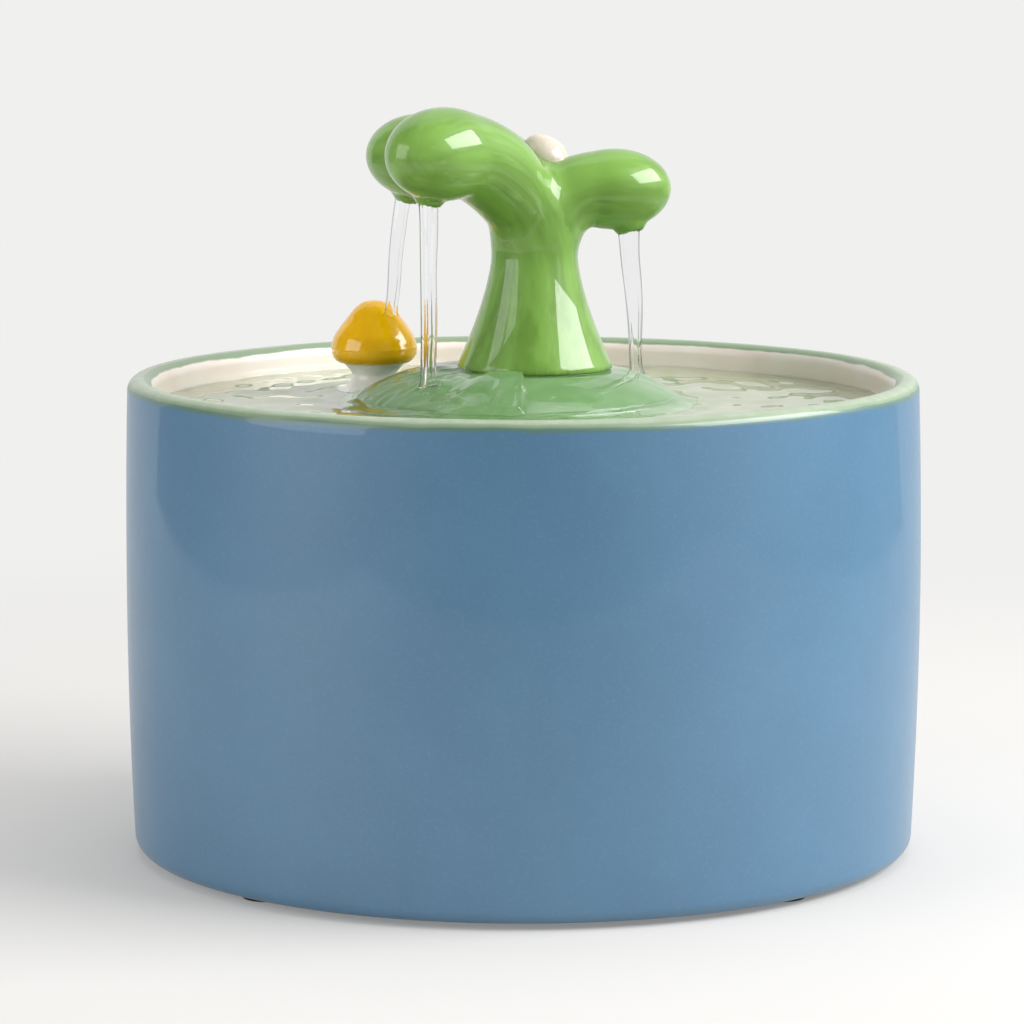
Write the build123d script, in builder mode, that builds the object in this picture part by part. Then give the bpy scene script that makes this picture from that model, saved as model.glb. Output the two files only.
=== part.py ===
from build123d import *
import os
from math import cos, radians, sin, sqrt

# Ceramic pet water fountain: a round blue basin, a white tray with a green dome,
# a three-armed green sprout that pours the water, and a small yellow mushroom.
# Frame: millimetres, +Z up, z = 0 on the table under the rubber feet, basin axis on Z,
# front of the fountain towards -Y.

os.makedirs("parts", exist_ok=True)

# ---------------------------------------------------------------- driving dimensions
# Basin
basin_r = 100.0          # outer radius at the shoulder under the lip
basin_h = 120.8          # table to the top of the lip
belly = 0.7              # how far the barrel side swells
foot_draw = 0.8          # how far the side comes in at the bottom
edge_round = 3.5         # rounding of the bottom edge
basin_wall = 6.8
floor_t = 7.0
floor_round = 9.0        # inside corner between wall and floor
ring_in_r = 78.0         # inner radius of the foot ring
ring_h = 2.0             # hollow inside the foot ring
ledge_drop = 20.8        # lip down to the tray ledge
ledge_w = 4.0
ledge_t = 3.0

# Rubber feet
foot_count = 4
foot_r = 6.5
foot_proud = 1.2         # lifts the basin off the table
foot_sunk = 1.2

# Cable gland in the rear wall
gland_z = 24.0
gland_bore = 2.3
gland_neck_r = 5.0
gland_flange_r = 7.5
gland_flange_t = 1.6
gland_web = 4.8          # wall left between the two flat seats

# Tray
tray_gap = 0.8           # to the basin wall
tray_t = 5.0
tray_hole_r = 15.0
bumper_count = 6
bumper_r = 1.3
bumper_h = 1.0
bumper_stub = 2.0
collar_h = 1.6
collar_w = 2.4
drain_r = 4.0
drain_row_share = (0.66, 0.79)   # of the basin's radius
drain_row_count = (5, 7)
drain_sweep = 60.0       # sector the drain holes fill, about the front
finger_r = 9.0
finger_share = 0.72      # of the basin's radius
finger_angle = 52.0      # from the front, to each side

# Dome
dome_x = -1.5
dome_r = 46.0
dome_h = 18.8            # height of the full ellipse
dome_seat_h = 16.0       # flat on top, above the tray
dome_wall = 4.5
dome_fit = 0.6           # to the tray's collar
crown_t = 4.0

# Sprout
sprout_x = 2.8
sprout_lift_z = 0.8      # foot above the dome's flat
sprout_wall = 4.5
foot_flare_r = 19.5
neck_r = 11.3
neck_z = 34.0            # where the neck ends in the crotch
flare_h = 30.0           # where the flare reaches the neck
flare_bend = 68.0        # radius of the flare's side
branch_z = 20.0          # where the arms' centre lines begin
arm_share = 0.92         # arm radius behind its end
tip_share = 1.43         # length of the egg-shaped end, of its radius
# The front, back and right arm; reach is where the end begins
arm_angles = (226.0, 148.0, 12.0)
arm_reaches = (31.4, 32.9, 20.5)
arm_rises = (55.6, 52.9, 45.6)
arm_radii = (12.1, 11.2, 10.2)
bend_shares = (0.96, 0.96, 0.6)   # how much of an arm is its bend
outlet_angles = (221.0, 146.5, 8.0)
outlet_reaches = (35.0, 39.0, 24.5)
outlet_r = 2.6

# Bud
bud_long = 5.6
bud_short = 4.6
bud_at = (3.2, 4.0, 54.6)   # from the foot of the sprout
bud_tilt = 40.0

# Joint between dome and sprout
seal_in_r = 14.2
seal_out_r = 17.8
seal_groove = 0.4
seal_fit = 0.3           # beside the seal in its groove
plug_flange_r = 12.5
plug_flange_t = 2.6
plug_r = 8.0
plug_top_r = 7.0
plug_top_h = 5.0
plug_bore = 3.2
plug_fit = 0.35          # in the dome's hole and in the sprout's foot
spigot_len = 8.0         # inside the riser
spigot_fit = 0.1

# Mushroom
mush_x = -38.5
mush_y = 28.0
mush_foot_r = 9.8
mush_flange_t = 2.0
mush_bulge_r = 8.9
mush_bulge_z = 6.8       # above the tray, as the next four
mush_waist_r = 5.7
mush_waist_z = 12.0
mush_gill_r = 8.0
mush_gill_z = 14.8
mush_rim_z = 18.9
mush_top_z = 31.0
mush_cap_r = 11.3
crown_share = ((0.92, 0.22), (0.76, 0.45), (0.60, 0.64), (0.42, 0.83))   # of radius and rise
mush_peg_r = 3.0
mush_peg_len = 6.0
mush_fit = 0.35
tenon_r = 3.2
tenon_h = 4.0

# Filter housing around the pump
housing_r = 49.0
housing_wall = 2.0
housing_foot_h = 1.0
housing_foot_r = 4.0
housing_h = 66.8         # reservoir floor to the top of the housing wall
shelf_drop = 14.0        # top of the wall down to the cartridge shelf
shelf_w = 3.0
shelf_t = 2.0
notch_w = 9.0            # notch for the cable at the rear
notch_h = 8.0
cartridge_gap = 0.5
cartridge_h = 12.0
cartridge_wall = 1.5
pad_h = 2.0
lid_t = 2.5
lid_skirt_h = 1.8
riser_gap = 1.5
rose_r = 1.7             # holes in lid and cartridge
rose_share = (0.35, 0.51, 0.67)   # of the housing's radius
rose_count = (12, 18, 24)
knob_r = 3.0
knob_h = 5.0
knob_inset = 9.0         # from the lid's edge

# Pump
cup_r = 6.0
cup_h = 4.0
cup_stub_r = 1.8
cup_stub_h = 1.2
pump_w = 40.0
pump_front = -6.0        # y of the housing's front face
pump_clear = 1.0         # rear corners of the pump to the filter housing's wall
pump_h = 36.0
pump_wall = 2.0
pump_round = 4.0
rotor_dx = -6.0          # rotor axis from the riser axis
rotor_h = 14.0           # rotor axis above the pump's base
volute_r = 13.5
volute_depth = 12.0
well_r = 9.2
well_wall = 1.2
well_room = 1.9          # behind the circuit board
outlet_bore = 3.3
riser_in_r = 4.5
riser_out_r = 6.0
nozzle_h = 6.0
riser_above_tray = 3.0   # mouth of the riser above the tray's underside
cover_t = 2.5
inlet_r = 8.0
hub_r = 3.2
spoke_w = 1.6
gasket_w = 1.5
gasket_t = 1.0
gasket_gap = 0.8
strainer_depth = 9.0
strainer_wall = 1.6
strainer_inset = 1.0
strainer_slot = 1.6
strainer_slots = 7
foam_gap = 0.4
screw_r = 0.9
screw_head_r = 1.7
screw_len = 9.0
screw_inset = 3.0

# Rotor
shaft_r = 1.5
shaft_fit = 0.05
bush_t = 2.4
bush_r = 2.6
magnet_gap = 0.6
magnet_stop = 7.0        # end of the magnet to the end of the well
blade_count = 6
blade_t = 1.2
blade_h = 7.0
vane_gap = 1.3
plate_t = 1.5
end_play = 0.4
impeller_hub_r = 4.0

# Motor
core_gap = 0.3
core_share = 0.56        # depth of the stack, of the well
arm_w = 5.6
yoke_h = 3.6
coil_t = 1.6
board_t = 1.2
potting_t = 2.4

# Flow dial
dial_r = 8.0
dial_t = 2.2
dial_gap = 0.3
dial_pin_r = 1.4
dial_pin_len = 3.5
dial_window_r = 1.5
dial_window_circle = 5.0
dial_grip_w = 1.6

# ---------------------------------------------------------------- derived levels
rim_z = basin_h
base_z = foot_proud
floor_z = base_z + floor_t
foot_circle = (ring_in_r + ring_h + basin_r - foot_draw - edge_round) / 2
basin_in_r = basin_r - basin_wall
ledge_z = rim_z - ledge_drop
tray_bottom = ledge_z + bumper_h
tray_top = tray_bottom + tray_t
tray_r = basin_in_r - tray_gap
seat_z = tray_top + dome_seat_h
sprout_z = seat_z + sprout_lift_z
dome_in_r = dome_r - dome_wall
dome_in_h = dome_seat_h - crown_t
hole_r = plug_r + plug_fit

housing_z = floor_z + housing_foot_h
housing_floor = housing_z + housing_wall
housing_top = floor_z + housing_h
housing_in_r = housing_r - housing_wall
shelf_z = housing_top - shelf_drop
sleeve_r = riser_out_r + riser_gap
cartridge_r = housing_in_r - cartridge_gap

pump_z = housing_floor + cup_h
pump_rear = sqrt((housing_in_r - pump_clear) ** 2 - (pump_w / 2 - rotor_dx) ** 2)
pump_top = pump_z + pump_h
rotor_x = sprout_x + rotor_dx
rotor_z = pump_z + rotor_h
pump_mid_z = pump_z + pump_h / 2
volute_back = pump_front + volute_depth
well_depth = pump_rear - potting_t - well_room - board_t - core_gap - well_wall - volute_back
core_t = core_share * well_depth
magnet_len = well_depth - magnet_stop
well_end = volute_back + well_depth
cover_front = pump_front - cover_t
strainer_front = cover_front - strainer_depth
riser_top = tray_bottom + riser_above_tray


def upright(x, y, z):
    """Plane in which local x runs along X and local y runs up."""
    return Plane((x, y, z), x_dir=(1, 0, 0), z_dir=(0, -1, 0))


def facing_rear(y):
    """Plane across the pump at a given y, centred on the rotor axis, looking to the rear."""
    return Plane((rotor_x, y, rotor_z), x_dir=(-1, 0, 0), z_dir=(0, 1, 0))


def ring(r_out, r_in, z_from, z_to, x=0.0, y=0.0):
    """A plain ring about a vertical axis."""
    with BuildPart() as piece:
        with BuildSketch(Plane((x, y, z_from))):
            Circle(r_out)
            Circle(r_in, mode=Mode.SUBTRACT)
        extrude(amount=z_to - z_from)
    return piece.part


# ---------------------------------------------------------------- basin
with BuildPart() as basin:
    with BuildSketch(Plane.XZ):
        with BuildLine():
            side_foot = (basin_r - foot_draw, base_z + edge_round)
            side_top = (basin_r, rim_z - basin_wall / 2)
            Line((0, base_z + ring_h), (ring_in_r, base_z + ring_h))
            Line((ring_in_r, base_z + ring_h), (ring_in_r + ring_h, base_z))
            Line((ring_in_r + ring_h, base_z), (side_foot[0] - edge_round, base_z))
            RadiusArc((side_foot[0] - edge_round, base_z), side_foot, -edge_round)
            ThreePointArc(side_foot, (basin_r + belly, (side_foot[1] + side_top[1]) / 2), side_top)
            ThreePointArc(side_top, (basin_r - basin_wall / 2, rim_z), (basin_in_r, side_top[1]))
            Polyline(
                (basin_in_r, side_top[1]),
                (basin_in_r, ledge_z),
                (basin_in_r - ledge_w, ledge_z),
                (basin_in_r - ledge_w, ledge_z - ledge_t),
                (basin_in_r, ledge_z - ledge_t - ledge_w),
                (basin_in_r, floor_z + floor_round),
            )
            RadiusArc((basin_in_r, floor_z + floor_round), (basin_in_r - floor_round, floor_z), floor_round)
            Polyline((basin_in_r - floor_round, floor_z), (0, floor_z), (0, base_z + ring_h))
        make_face()
    revolve(axis=Axis.Z)
    # Sockets for the rubber feet
    with BuildSketch(Plane.XY.offset(base_z)):
        with PolarLocations(foot_circle, foot_count, start_angle=180 / foot_count):
            Circle(foot_r)
    extrude(amount=foot_sunk, mode=Mode.SUBTRACT)
    # Flat seats and bore for the cable gland, through the rear wall
    gland_out_y = basin_in_r + (basin_wall + gland_web) / 2
    gland_in_y = gland_out_y - gland_web
    with Locations((0, gland_out_y + basin_wall / 2, gland_z), (0, gland_in_y - basin_wall / 2, gland_z)):
        Cylinder(gland_flange_r + 1, basin_wall, rotation=(90, 0, 0), mode=Mode.SUBTRACT)
    with Locations((0, gland_in_y + gland_web / 2, gland_z)):
        Cylinder(gland_neck_r, gland_web, rotation=(90, 0, 0), mode=Mode.SUBTRACT)
basin.part.label = "basin"
export_step(basin.part, "parts/basin.step")

with BuildPart() as foot_pads:
    with BuildSketch():
        with PolarLocations(foot_circle, foot_count, start_angle=180 / foot_count):
            Circle(foot_r)
    extrude(amount=foot_proud + foot_sunk)
    chamfer(foot_pads.edges().group_by(Axis.Z)[0], foot_proud / 3)
foot_pads.part.label = "foot_pads"
export_step(foot_pads.part, "parts/foot_pads.step")

with BuildPart() as cable_gland:
    with Locations((0, gland_in_y + gland_web / 2, gland_z)):
        Cylinder(gland_neck_r, gland_web, rotation=(90, 0, 0))
    with Locations(
        (0, gland_out_y + gland_flange_t / 2, gland_z),
        (0, gland_in_y - gland_flange_t / 2, gland_z),
    ):
        Cylinder(gland_flange_r, gland_flange_t, rotation=(90, 0, 0))
    with Locations((0, gland_in_y + gland_web / 2, gland_z)):
        Cylinder(gland_bore, gland_web + 3 * gland_flange_t, rotation=(90, 0, 0), mode=Mode.SUBTRACT)
cable_gland.part.label = "cable_gland"
export_step(cable_gland.part, "parts/cable_gland.step")

# ---------------------------------------------------------------- tray
bumper_circle = (tray_r + basin_in_r - ledge_w) / 2
collar_r = dome_in_r * sqrt(1 - (collar_h / dome_in_h) ** 2) - dome_fit

with BuildPart() as tray:
    with BuildSketch(Plane.XY.offset(tray_bottom)):
        Circle(tray_r)
        with Locations((sprout_x, 0)):
            Circle(tray_hole_r, mode=Mode.SUBTRACT)
        for row_share, row_count in zip(drain_row_share, drain_row_count):
            row_start = -90 - drain_sweep / 2
            with PolarLocations(row_share * basin_r, row_count, row_start, drain_sweep, endpoint=True):
                Circle(drain_r, mode=Mode.SUBTRACT)
        with PolarLocations(finger_share * basin_r, 2, -90 - finger_angle, 2 * finger_angle, endpoint=True):
            Circle(finger_r, mode=Mode.SUBTRACT)
    extrude(amount=tray_t)
    with BuildSketch(Plane((dome_x, 0, tray_top))):
        Circle(collar_r)
        Circle(collar_r - collar_w, mode=Mode.SUBTRACT)
    extrude(amount=collar_h)
    with BuildSketch(Plane.XY.offset(tray_bottom)):
        with PolarLocations(bumper_circle, bumper_count):
            Circle(bumper_r)
    extrude(amount=bumper_stub, mode=Mode.SUBTRACT)
    rim_edges = tray.edges().filter_by(GeomType.CIRCLE).sort_by(SortBy.RADIUS)[-2:]
    fillet(rim_edges.sort_by(Axis.Z)[-1], tray_t / 4)
tray.part.label = "tray"
export_step(tray.part, "parts/tray.step")

with BuildPart() as tray_bumpers:
    with BuildSketch(Plane.XY.offset(ledge_z)):
        with PolarLocations(bumper_circle, bumper_count):
            Circle(bumper_r)
    extrude(amount=bumper_h + bumper_stub)
tray_bumpers.part.label = "tray_bumpers"
export_step(tray_bumpers.part, "parts/tray_bumpers.step")


# ---------------------------------------------------------------- dome
def half_ellipsoid(a, b, x, z_cut):
    """Upper half of an ellipsoid on the tray, cut off flat at a height above it."""
    with BuildPart() as piece:
        with BuildSketch(upright(x, 0, tray_top)):
            Ellipse(a, b)
            with Locations((-a, 0)):
                Rectangle(2 * a, 2 * b, mode=Mode.SUBTRACT)
            with Locations((0, -b)):
                Rectangle(2 * a, 2 * b, mode=Mode.SUBTRACT)
            with Locations((0, z_cut + b)):
                Rectangle(2 * a, 2 * b, mode=Mode.SUBTRACT)
        revolve(axis=Axis((x, 0, 0), (0, 0, 1)))
    return piece.part


with BuildPart() as dome:
    add(half_ellipsoid(dome_r, dome_h, dome_x, dome_seat_h))
    # Flange and peg that carry the mushroom
    with BuildSketch(Plane((mush_x, mush_y, tray_top))):
        Circle(mush_foot_r)
    extrude(amount=mush_flange_t)
    with BuildSketch(Plane((mush_x, mush_y, tray_top))):
        Circle(mush_peg_r)
    extrude(amount=mush_flange_t + mush_peg_len)
    add(half_ellipsoid(dome_in_r, dome_in_h, dome_x, 2 * dome_in_h), mode=Mode.SUBTRACT)
    with BuildSketch(Plane((sprout_x, 0, seat_z))):
        Circle(hole_r)
    extrude(amount=-dome_h, mode=Mode.SUBTRACT)
    with BuildSketch(Plane((sprout_x, 0, seat_z))):
        Circle(seal_out_r + seal_fit)
        Circle(seal_in_r - seal_fit, mode=Mode.SUBTRACT)
    extrude(amount=-seal_groove, mode=Mode.SUBTRACT)
dome.part.label = "dome"
export_step(dome.part, "parts/dome.step")

# ---------------------------------------------------------------- sprout, seal and plug
sprout_seal = ring(seal_out_r, seal_in_r, seat_z - seal_groove, sprout_z, sprout_x)
sprout_seal.label = "sprout_seal"
export_step(sprout_seal, "parts/sprout_seal.step")

with BuildPart() as sprout_plug:
    flange_top = seat_z + plug_flange_t
    with BuildSketch(upright(sprout_x, 0, 0)):
        with BuildLine():
            Polyline(
                (plug_bore, riser_top - spigot_len),
                (riser_in_r - spigot_fit, riser_top - spigot_len),
                (riser_in_r - spigot_fit, riser_top + 1),
                (plug_r, riser_top + 1 + plug_r - riser_in_r),
                (plug_r, seat_z),
                (plug_flange_r, seat_z),
                (plug_flange_r, flange_top),
                (plug_top_r, flange_top),
                (plug_top_r, flange_top + plug_top_h),
                (plug_bore, flange_top + plug_top_h),
                close=True,
            )
        make_face()
    revolve(axis=Axis((sprout_x, 0, 0), (0, 0, 1)))
sprout_plug.part.label = "sprout_plug"
export_step(sprout_plug.part, "parts/sprout_plug.step")


def sprout_form(inset):
    """Flared stem and three bent arms with egg-shaped ends, all shrunk by an inset."""
    with BuildPart() as form:
        with BuildSketch(upright(sprout_x, 0, sprout_z)):
            with BuildLine():
                flare = RadiusArc((foot_flare_r - inset, inset), (neck_r - inset, flare_h), flare_bend)
                Polyline(flare @ 1, (neck_r - inset, neck_z), (0, neck_z), (0, inset), flare @ 0)
            make_face()
        revolve(axis=Axis((sprout_x, 0, 0), (0, 0, 1)))
        for azimuth, reach, rise, arm_r, share in zip(
            arm_angles, arm_reaches, arm_rises, arm_radii, bend_shares
        ):
            outwards = Vector(cos(radians(azimuth)), sin(radians(azimuth)), 0)
            climb = rise - branch_z
            bend = share * min(climb, reach)
            root = Plane(
                (sprout_x, 0, sprout_z + branch_z), x_dir=outwards, z_dir=outwards.cross(Vector(0, 0, 1))
            )
            with BuildLine(root) as spine:
                Line((0, 0), (0, climb - bend))
                CenterArc((bend, climb - bend), bend, start_angle=180, arc_size=-90)
                Line((bend, climb), (reach, climb))
            with BuildSketch(Plane(root.origin)):
                Circle(arm_share * arm_r - inset)
            sweep(path=spine.wire())
            with BuildSketch(root):
                with Locations((reach, climb)):
                    Ellipse(tip_share * arm_r - inset, arm_r - inset)
                    Rectangle(4 * arm_r, 2 * arm_r, align=(Align.CENTER, Align.MAX), mode=Mode.SUBTRACT)
            revolve(axis=Axis(root.from_local_coords((reach, climb, 0)), outwards))
    return form.part


# Bud: an egg set into the top of the right arm
bud_plane = Plane(
    (sprout_x + bud_at[0], bud_at[1], sprout_z + bud_at[2]),
    x_dir=(cos(radians(bud_tilt)), 0, -sin(radians(bud_tilt))),
    z_dir=(0, -1, 0),
)

with BuildPart() as bud:
    with BuildSketch(bud_plane):
        Ellipse(bud_long, bud_short)
        with Locations((0, -bud_short)):
            Rectangle(2 * bud_long, 2 * bud_short, mode=Mode.SUBTRACT)
    revolve(axis=Axis(bud_plane.origin, bud_plane.x_dir))
bud.part.label = "bud"
export_step(bud.part, "parts/bud.step")

with BuildPart() as sprout:
    add(sprout_form(0))
    add(sprout_form(sprout_wall), mode=Mode.SUBTRACT)
    add(bud.part, mode=Mode.SUBTRACT)
    # Hollow foot over the plug's flange, and the plug's hole
    with BuildSketch(Plane((sprout_x, 0, sprout_z))):
        Circle(plug_flange_r + plug_fit)
    extrude(amount=plug_flange_t - sprout_lift_z + plug_fit, mode=Mode.SUBTRACT)
    with BuildSketch(Plane((sprout_x, 0, sprout_z))):
        Circle(plug_top_r + plug_fit)
    extrude(amount=2 * sprout_wall, mode=Mode.SUBTRACT)
    # Outlets under the arms
    for azimuth, reach, rise, arm_r in zip(outlet_angles, outlet_reaches, arm_rises, arm_radii):
        outlet_x = sprout_x + reach * cos(radians(azimuth))
        outlet_y = reach * sin(radians(azimuth))
        with BuildSketch(Plane((outlet_x, outlet_y, sprout_z + rise))):
            Circle(outlet_r)
        extrude(amount=-2 * arm_r, mode=Mode.SUBTRACT)
sprout.part.label = "sprout"
export_step(sprout.part, "parts/sprout.step")

# ---------------------------------------------------------------- mushroom
mush_axis = Axis((mush_x, mush_y, 0), (0, 0, 1))
stem_foot_z = tray_top + mush_flange_t

with BuildPart() as mushroom_stem:
    with BuildSketch(upright(mush_x, mush_y, tray_top)):
        with BuildLine():
            neck_mid = (mush_bulge_z + mush_waist_z) / 2
            side = Spline(
                (mush_foot_r, mush_flange_t),
                (mush_bulge_r, mush_bulge_z),
                (mush_waist_r + (mush_bulge_r - mush_waist_r) / 3, neck_mid),
                (mush_waist_r, mush_waist_z),
                (mush_gill_r, mush_gill_z),
                tangents=((0, 1), (1, 0.8)),
            )
            Polyline(
                side @ 1,
                (tenon_r, mush_gill_z),
                (tenon_r, mush_gill_z + tenon_h),
                (0, mush_gill_z + tenon_h),
                (0, mush_flange_t),
                side @ 0,
            )
        make_face()
    revolve(axis=mush_axis)
    with BuildSketch(Plane((mush_x, mush_y, stem_foot_z))):
        Circle(mush_peg_r + mush_fit)
    extrude(amount=mush_peg_len + mush_fit, mode=Mode.SUBTRACT)
    # Scallop that follows the dome beside it
    add(
        half_ellipsoid(dome_r + mush_fit, dome_h + mush_fit, dome_x, 2 * dome_h),
        mode=Mode.SUBTRACT,
    )
mushroom_stem.part.label = "mushroom_stem"
export_step(mushroom_stem.part, "parts/mushroom_stem.step")

with BuildPart() as mushroom_cap:
    with BuildSketch(upright(mush_x, mush_y, tray_top)):
        with BuildLine():
            crown_rise = mush_top_z - mush_rim_z
            Spline(
                (mush_cap_r, mush_rim_z),
                *((mush_cap_r * across, mush_rim_z + crown_rise * up) for across, up in crown_share),
                (0, mush_top_z),
                tangents=((0, 1), (-1, 0)),
            )
            EllipticalCenterArc(
                (mush_gill_r, mush_rim_z),
                mush_cap_r - mush_gill_r,
                mush_rim_z - mush_gill_z,
                start_angle=-90,
                arc_size=90,
            )
            Polyline(
                (mush_gill_r, mush_gill_z),
                (tenon_r, mush_gill_z),
                (tenon_r, mush_gill_z + tenon_h),
                (0, mush_gill_z + tenon_h),
                (0, mush_top_z),
            )
        make_face()
    revolve(axis=mush_axis)
mushroom_cap.part.label = "mushroom_cap"
export_step(mushroom_cap.part, "parts/mushroom_cap.step")

# ---------------------------------------------------------------- filter housing, cartridge and lid
riser_axis = Axis((sprout_x, 0, 0), (0, 0, 1))


def rose(z):
    """Rings of small holes about the riser."""
    with BuildSketch(Plane((sprout_x, 0, z))) as holes:
        for row_share, row_count in zip(rose_share, rose_count):
            with PolarLocations(row_share * housing_r, row_count):
                Circle(rose_r)
    return holes.sketch


with BuildPart() as filter_housing:
    with BuildSketch(upright(sprout_x, 0, 0)):
        with BuildLine():
            Polyline(
                (0, housing_z),
                (housing_r, housing_z),
                (housing_r, housing_top),
                (housing_in_r, housing_top),
                (housing_in_r, shelf_z),
                (housing_in_r - shelf_w, shelf_z),
                (housing_in_r - shelf_w, shelf_z - shelf_t),
                (housing_in_r, shelf_z - shelf_t - shelf_w),
                (housing_in_r, housing_floor),
                (0, housing_floor),
                close=True,
            )
        make_face()
    revolve(axis=riser_axis)
    with BuildSketch(Plane((sprout_x, 0, housing_z))):
        with PolarLocations(housing_r - 2 * housing_foot_r, 4, start_angle=45):
            Circle(housing_foot_r)
    extrude(amount=-housing_foot_h)
    # Notch at the rear for the pump's cable
    with Locations((sprout_x, housing_r - housing_wall / 2, shelf_z - shelf_t - shelf_w - notch_h)):
        Box(notch_w, 3 * housing_wall, notch_h, mode=Mode.SUBTRACT)
filter_housing.part.label = "filter_housing"
export_step(filter_housing.part, "parts/filter_housing.step")

with BuildPart() as filter_cartridge:
    with BuildSketch(Plane((sprout_x, 0, shelf_z))):
        Circle(cartridge_r)
        Circle(sleeve_r, mode=Mode.SUBTRACT)
    extrude(amount=cartridge_h)
    with BuildSketch(Plane((sprout_x, 0, shelf_z + cartridge_wall))):
        Circle(cartridge_r - cartridge_wall)
        Circle(sleeve_r + cartridge_wall, mode=Mode.SUBTRACT)
    extrude(amount=cartridge_h, mode=Mode.SUBTRACT)
    extrude(rose(shelf_z), amount=cartridge_wall, mode=Mode.SUBTRACT)
filter_cartridge.part.label = "filter_cartridge"
export_step(filter_cartridge.part, "parts/filter_cartridge.step")

media_out_r = cartridge_r - cartridge_wall
media_in_r = sleeve_r + cartridge_wall
media_z = shelf_z + cartridge_wall
media_top = shelf_z + cartridge_h

with BuildPart() as cotton_pads:
    for pad_z in (media_z, media_top - pad_h):
        with BuildSketch(Plane((sprout_x, 0, pad_z))):
            Circle(media_out_r)
            Circle(media_in_r, mode=Mode.SUBTRACT)
        extrude(amount=pad_h)
cotton_pads.part.label = "cotton_pads"
export_step(cotton_pads.part, "parts/cotton_pads.step")

carbon_bed = ring(media_out_r, media_in_r, media_z + pad_h, media_top - pad_h, sprout_x)
carbon_bed.label = "carbon_bed"
export_step(carbon_bed, "parts/carbon_bed.step")

with BuildPart() as filter_lid:
    with BuildSketch(Plane((sprout_x, 0, housing_top))):
        Circle(housing_r)
    extrude(amount=lid_t)
    with BuildSketch(Plane((sprout_x, 0, housing_top))):
        Circle(cartridge_r)
        Circle(cartridge_r - cartridge_wall, mode=Mode.SUBTRACT)
    extrude(amount=-lid_skirt_h)
    with BuildSketch(Plane((sprout_x, 0, housing_top + lid_t))):
        with PolarLocations(housing_r - knob_inset, 2):
            Circle(knob_r)
    extrude(amount=knob_h)
    with BuildSketch(Plane((sprout_x, 0, housing_top))):
        Circle(sleeve_r)
    extrude(amount=lid_t, mode=Mode.SUBTRACT)
    extrude(rose(housing_top), amount=lid_t, mode=Mode.SUBTRACT)
filter_lid.part.label = "filter_lid"
export_step(filter_lid.part, "parts/filter_lid.step")

# ---------------------------------------------------------------- pump
pump_mid_y = (pump_front + pump_rear) / 2
cup_spots = [
    (rotor_x + side * (pump_w / 2 - cup_r), y)
    for side in (-1, 1)
    for y in (pump_front + cup_r, pump_rear - cup_r)
]

with BuildPart() as suction_cups:
    with BuildSketch(Plane.XY.offset(housing_floor)):
        with Locations(*cup_spots):
            Circle(cup_r)
    extrude(amount=cup_h, taper=28)
    with BuildSketch(Plane.XY.offset(pump_z)):
        with Locations(*cup_spots):
            Circle(cup_stub_r)
    extrude(amount=cup_stub_h)
suction_cups.part.label = "suction_cups"
export_step(suction_cups.part, "parts/suction_cups.step")

screw_spots = [
    (side * (pump_w / 2 - screw_inset), z)
    for side in (-1, 1)
    for z in (pump_z + screw_inset - rotor_z, pump_top - screw_inset - rotor_z)
]
gasket_in_r = volute_r + gasket_gap
cavity_y = volute_back + pump_wall

with BuildPart() as pump_housing:
    with Locations((rotor_x, pump_mid_y, pump_mid_z)):
        Box(pump_w, pump_rear - pump_front, pump_h)
    fillet(pump_housing.edges().filter_by(Axis.Y), pump_round)
    # Dry cavity for the motor, open at the rear
    with Locations((rotor_x, (cavity_y + pump_rear) / 2, pump_mid_z)):
        Box(
            pump_w - 2 * pump_wall,
            pump_rear - cavity_y,
            pump_h - 2 * pump_wall,
            mode=Mode.SUBTRACT,
        )
    with BuildSketch(facing_rear(volute_back)):
        Circle(well_r + well_wall)
    extrude(amount=well_depth + well_wall)
    with BuildSketch(facing_rear(volute_back)):
        Circle(well_r)
    extrude(amount=well_depth, mode=Mode.SUBTRACT)
    # Volute, with its outlet rising beside the rotor to the nozzle
    with BuildSketch(facing_rear(pump_front)):
        Circle(volute_r)
    extrude(amount=volute_depth, mode=Mode.SUBTRACT)
    with BuildSketch(Plane((sprout_x, 0, pump_top))):
        Circle(riser_in_r)
    extrude(amount=nozzle_h)
    with BuildSketch(Plane((sprout_x, 0, rotor_z))):
        Circle(outlet_bore)
    extrude(amount=pump_top + nozzle_h - rotor_z, mode=Mode.SUBTRACT)
    # Gasket groove and screw holes in the front face
    with BuildSketch(facing_rear(pump_front)):
        Circle(gasket_in_r + gasket_w)
        Circle(gasket_in_r, mode=Mode.SUBTRACT)
    extrude(amount=gasket_t, mode=Mode.SUBTRACT)
    with BuildSketch(facing_rear(pump_front)):
        with Locations(*screw_spots):
            Circle(screw_r)
    extrude(amount=screw_len - cover_t, mode=Mode.SUBTRACT)
    with BuildSketch(Plane.XY.offset(pump_z)):
        with Locations(*cup_spots):
            Circle(cup_stub_r)
    extrude(amount=cup_stub_h, mode=Mode.SUBTRACT)
pump_housing.part.label = "pump_housing"
export_step(pump_housing.part, "parts/pump_housing.step")

with BuildPart() as volute_gasket:
    with BuildSketch(facing_rear(pump_front)):
        Circle(gasket_in_r + gasket_w)
        Circle(gasket_in_r, mode=Mode.SUBTRACT)
    extrude(amount=gasket_t)
volute_gasket.part.label = "volute_gasket"
export_step(volute_gasket.part, "parts/volute_gasket.step")

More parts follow.
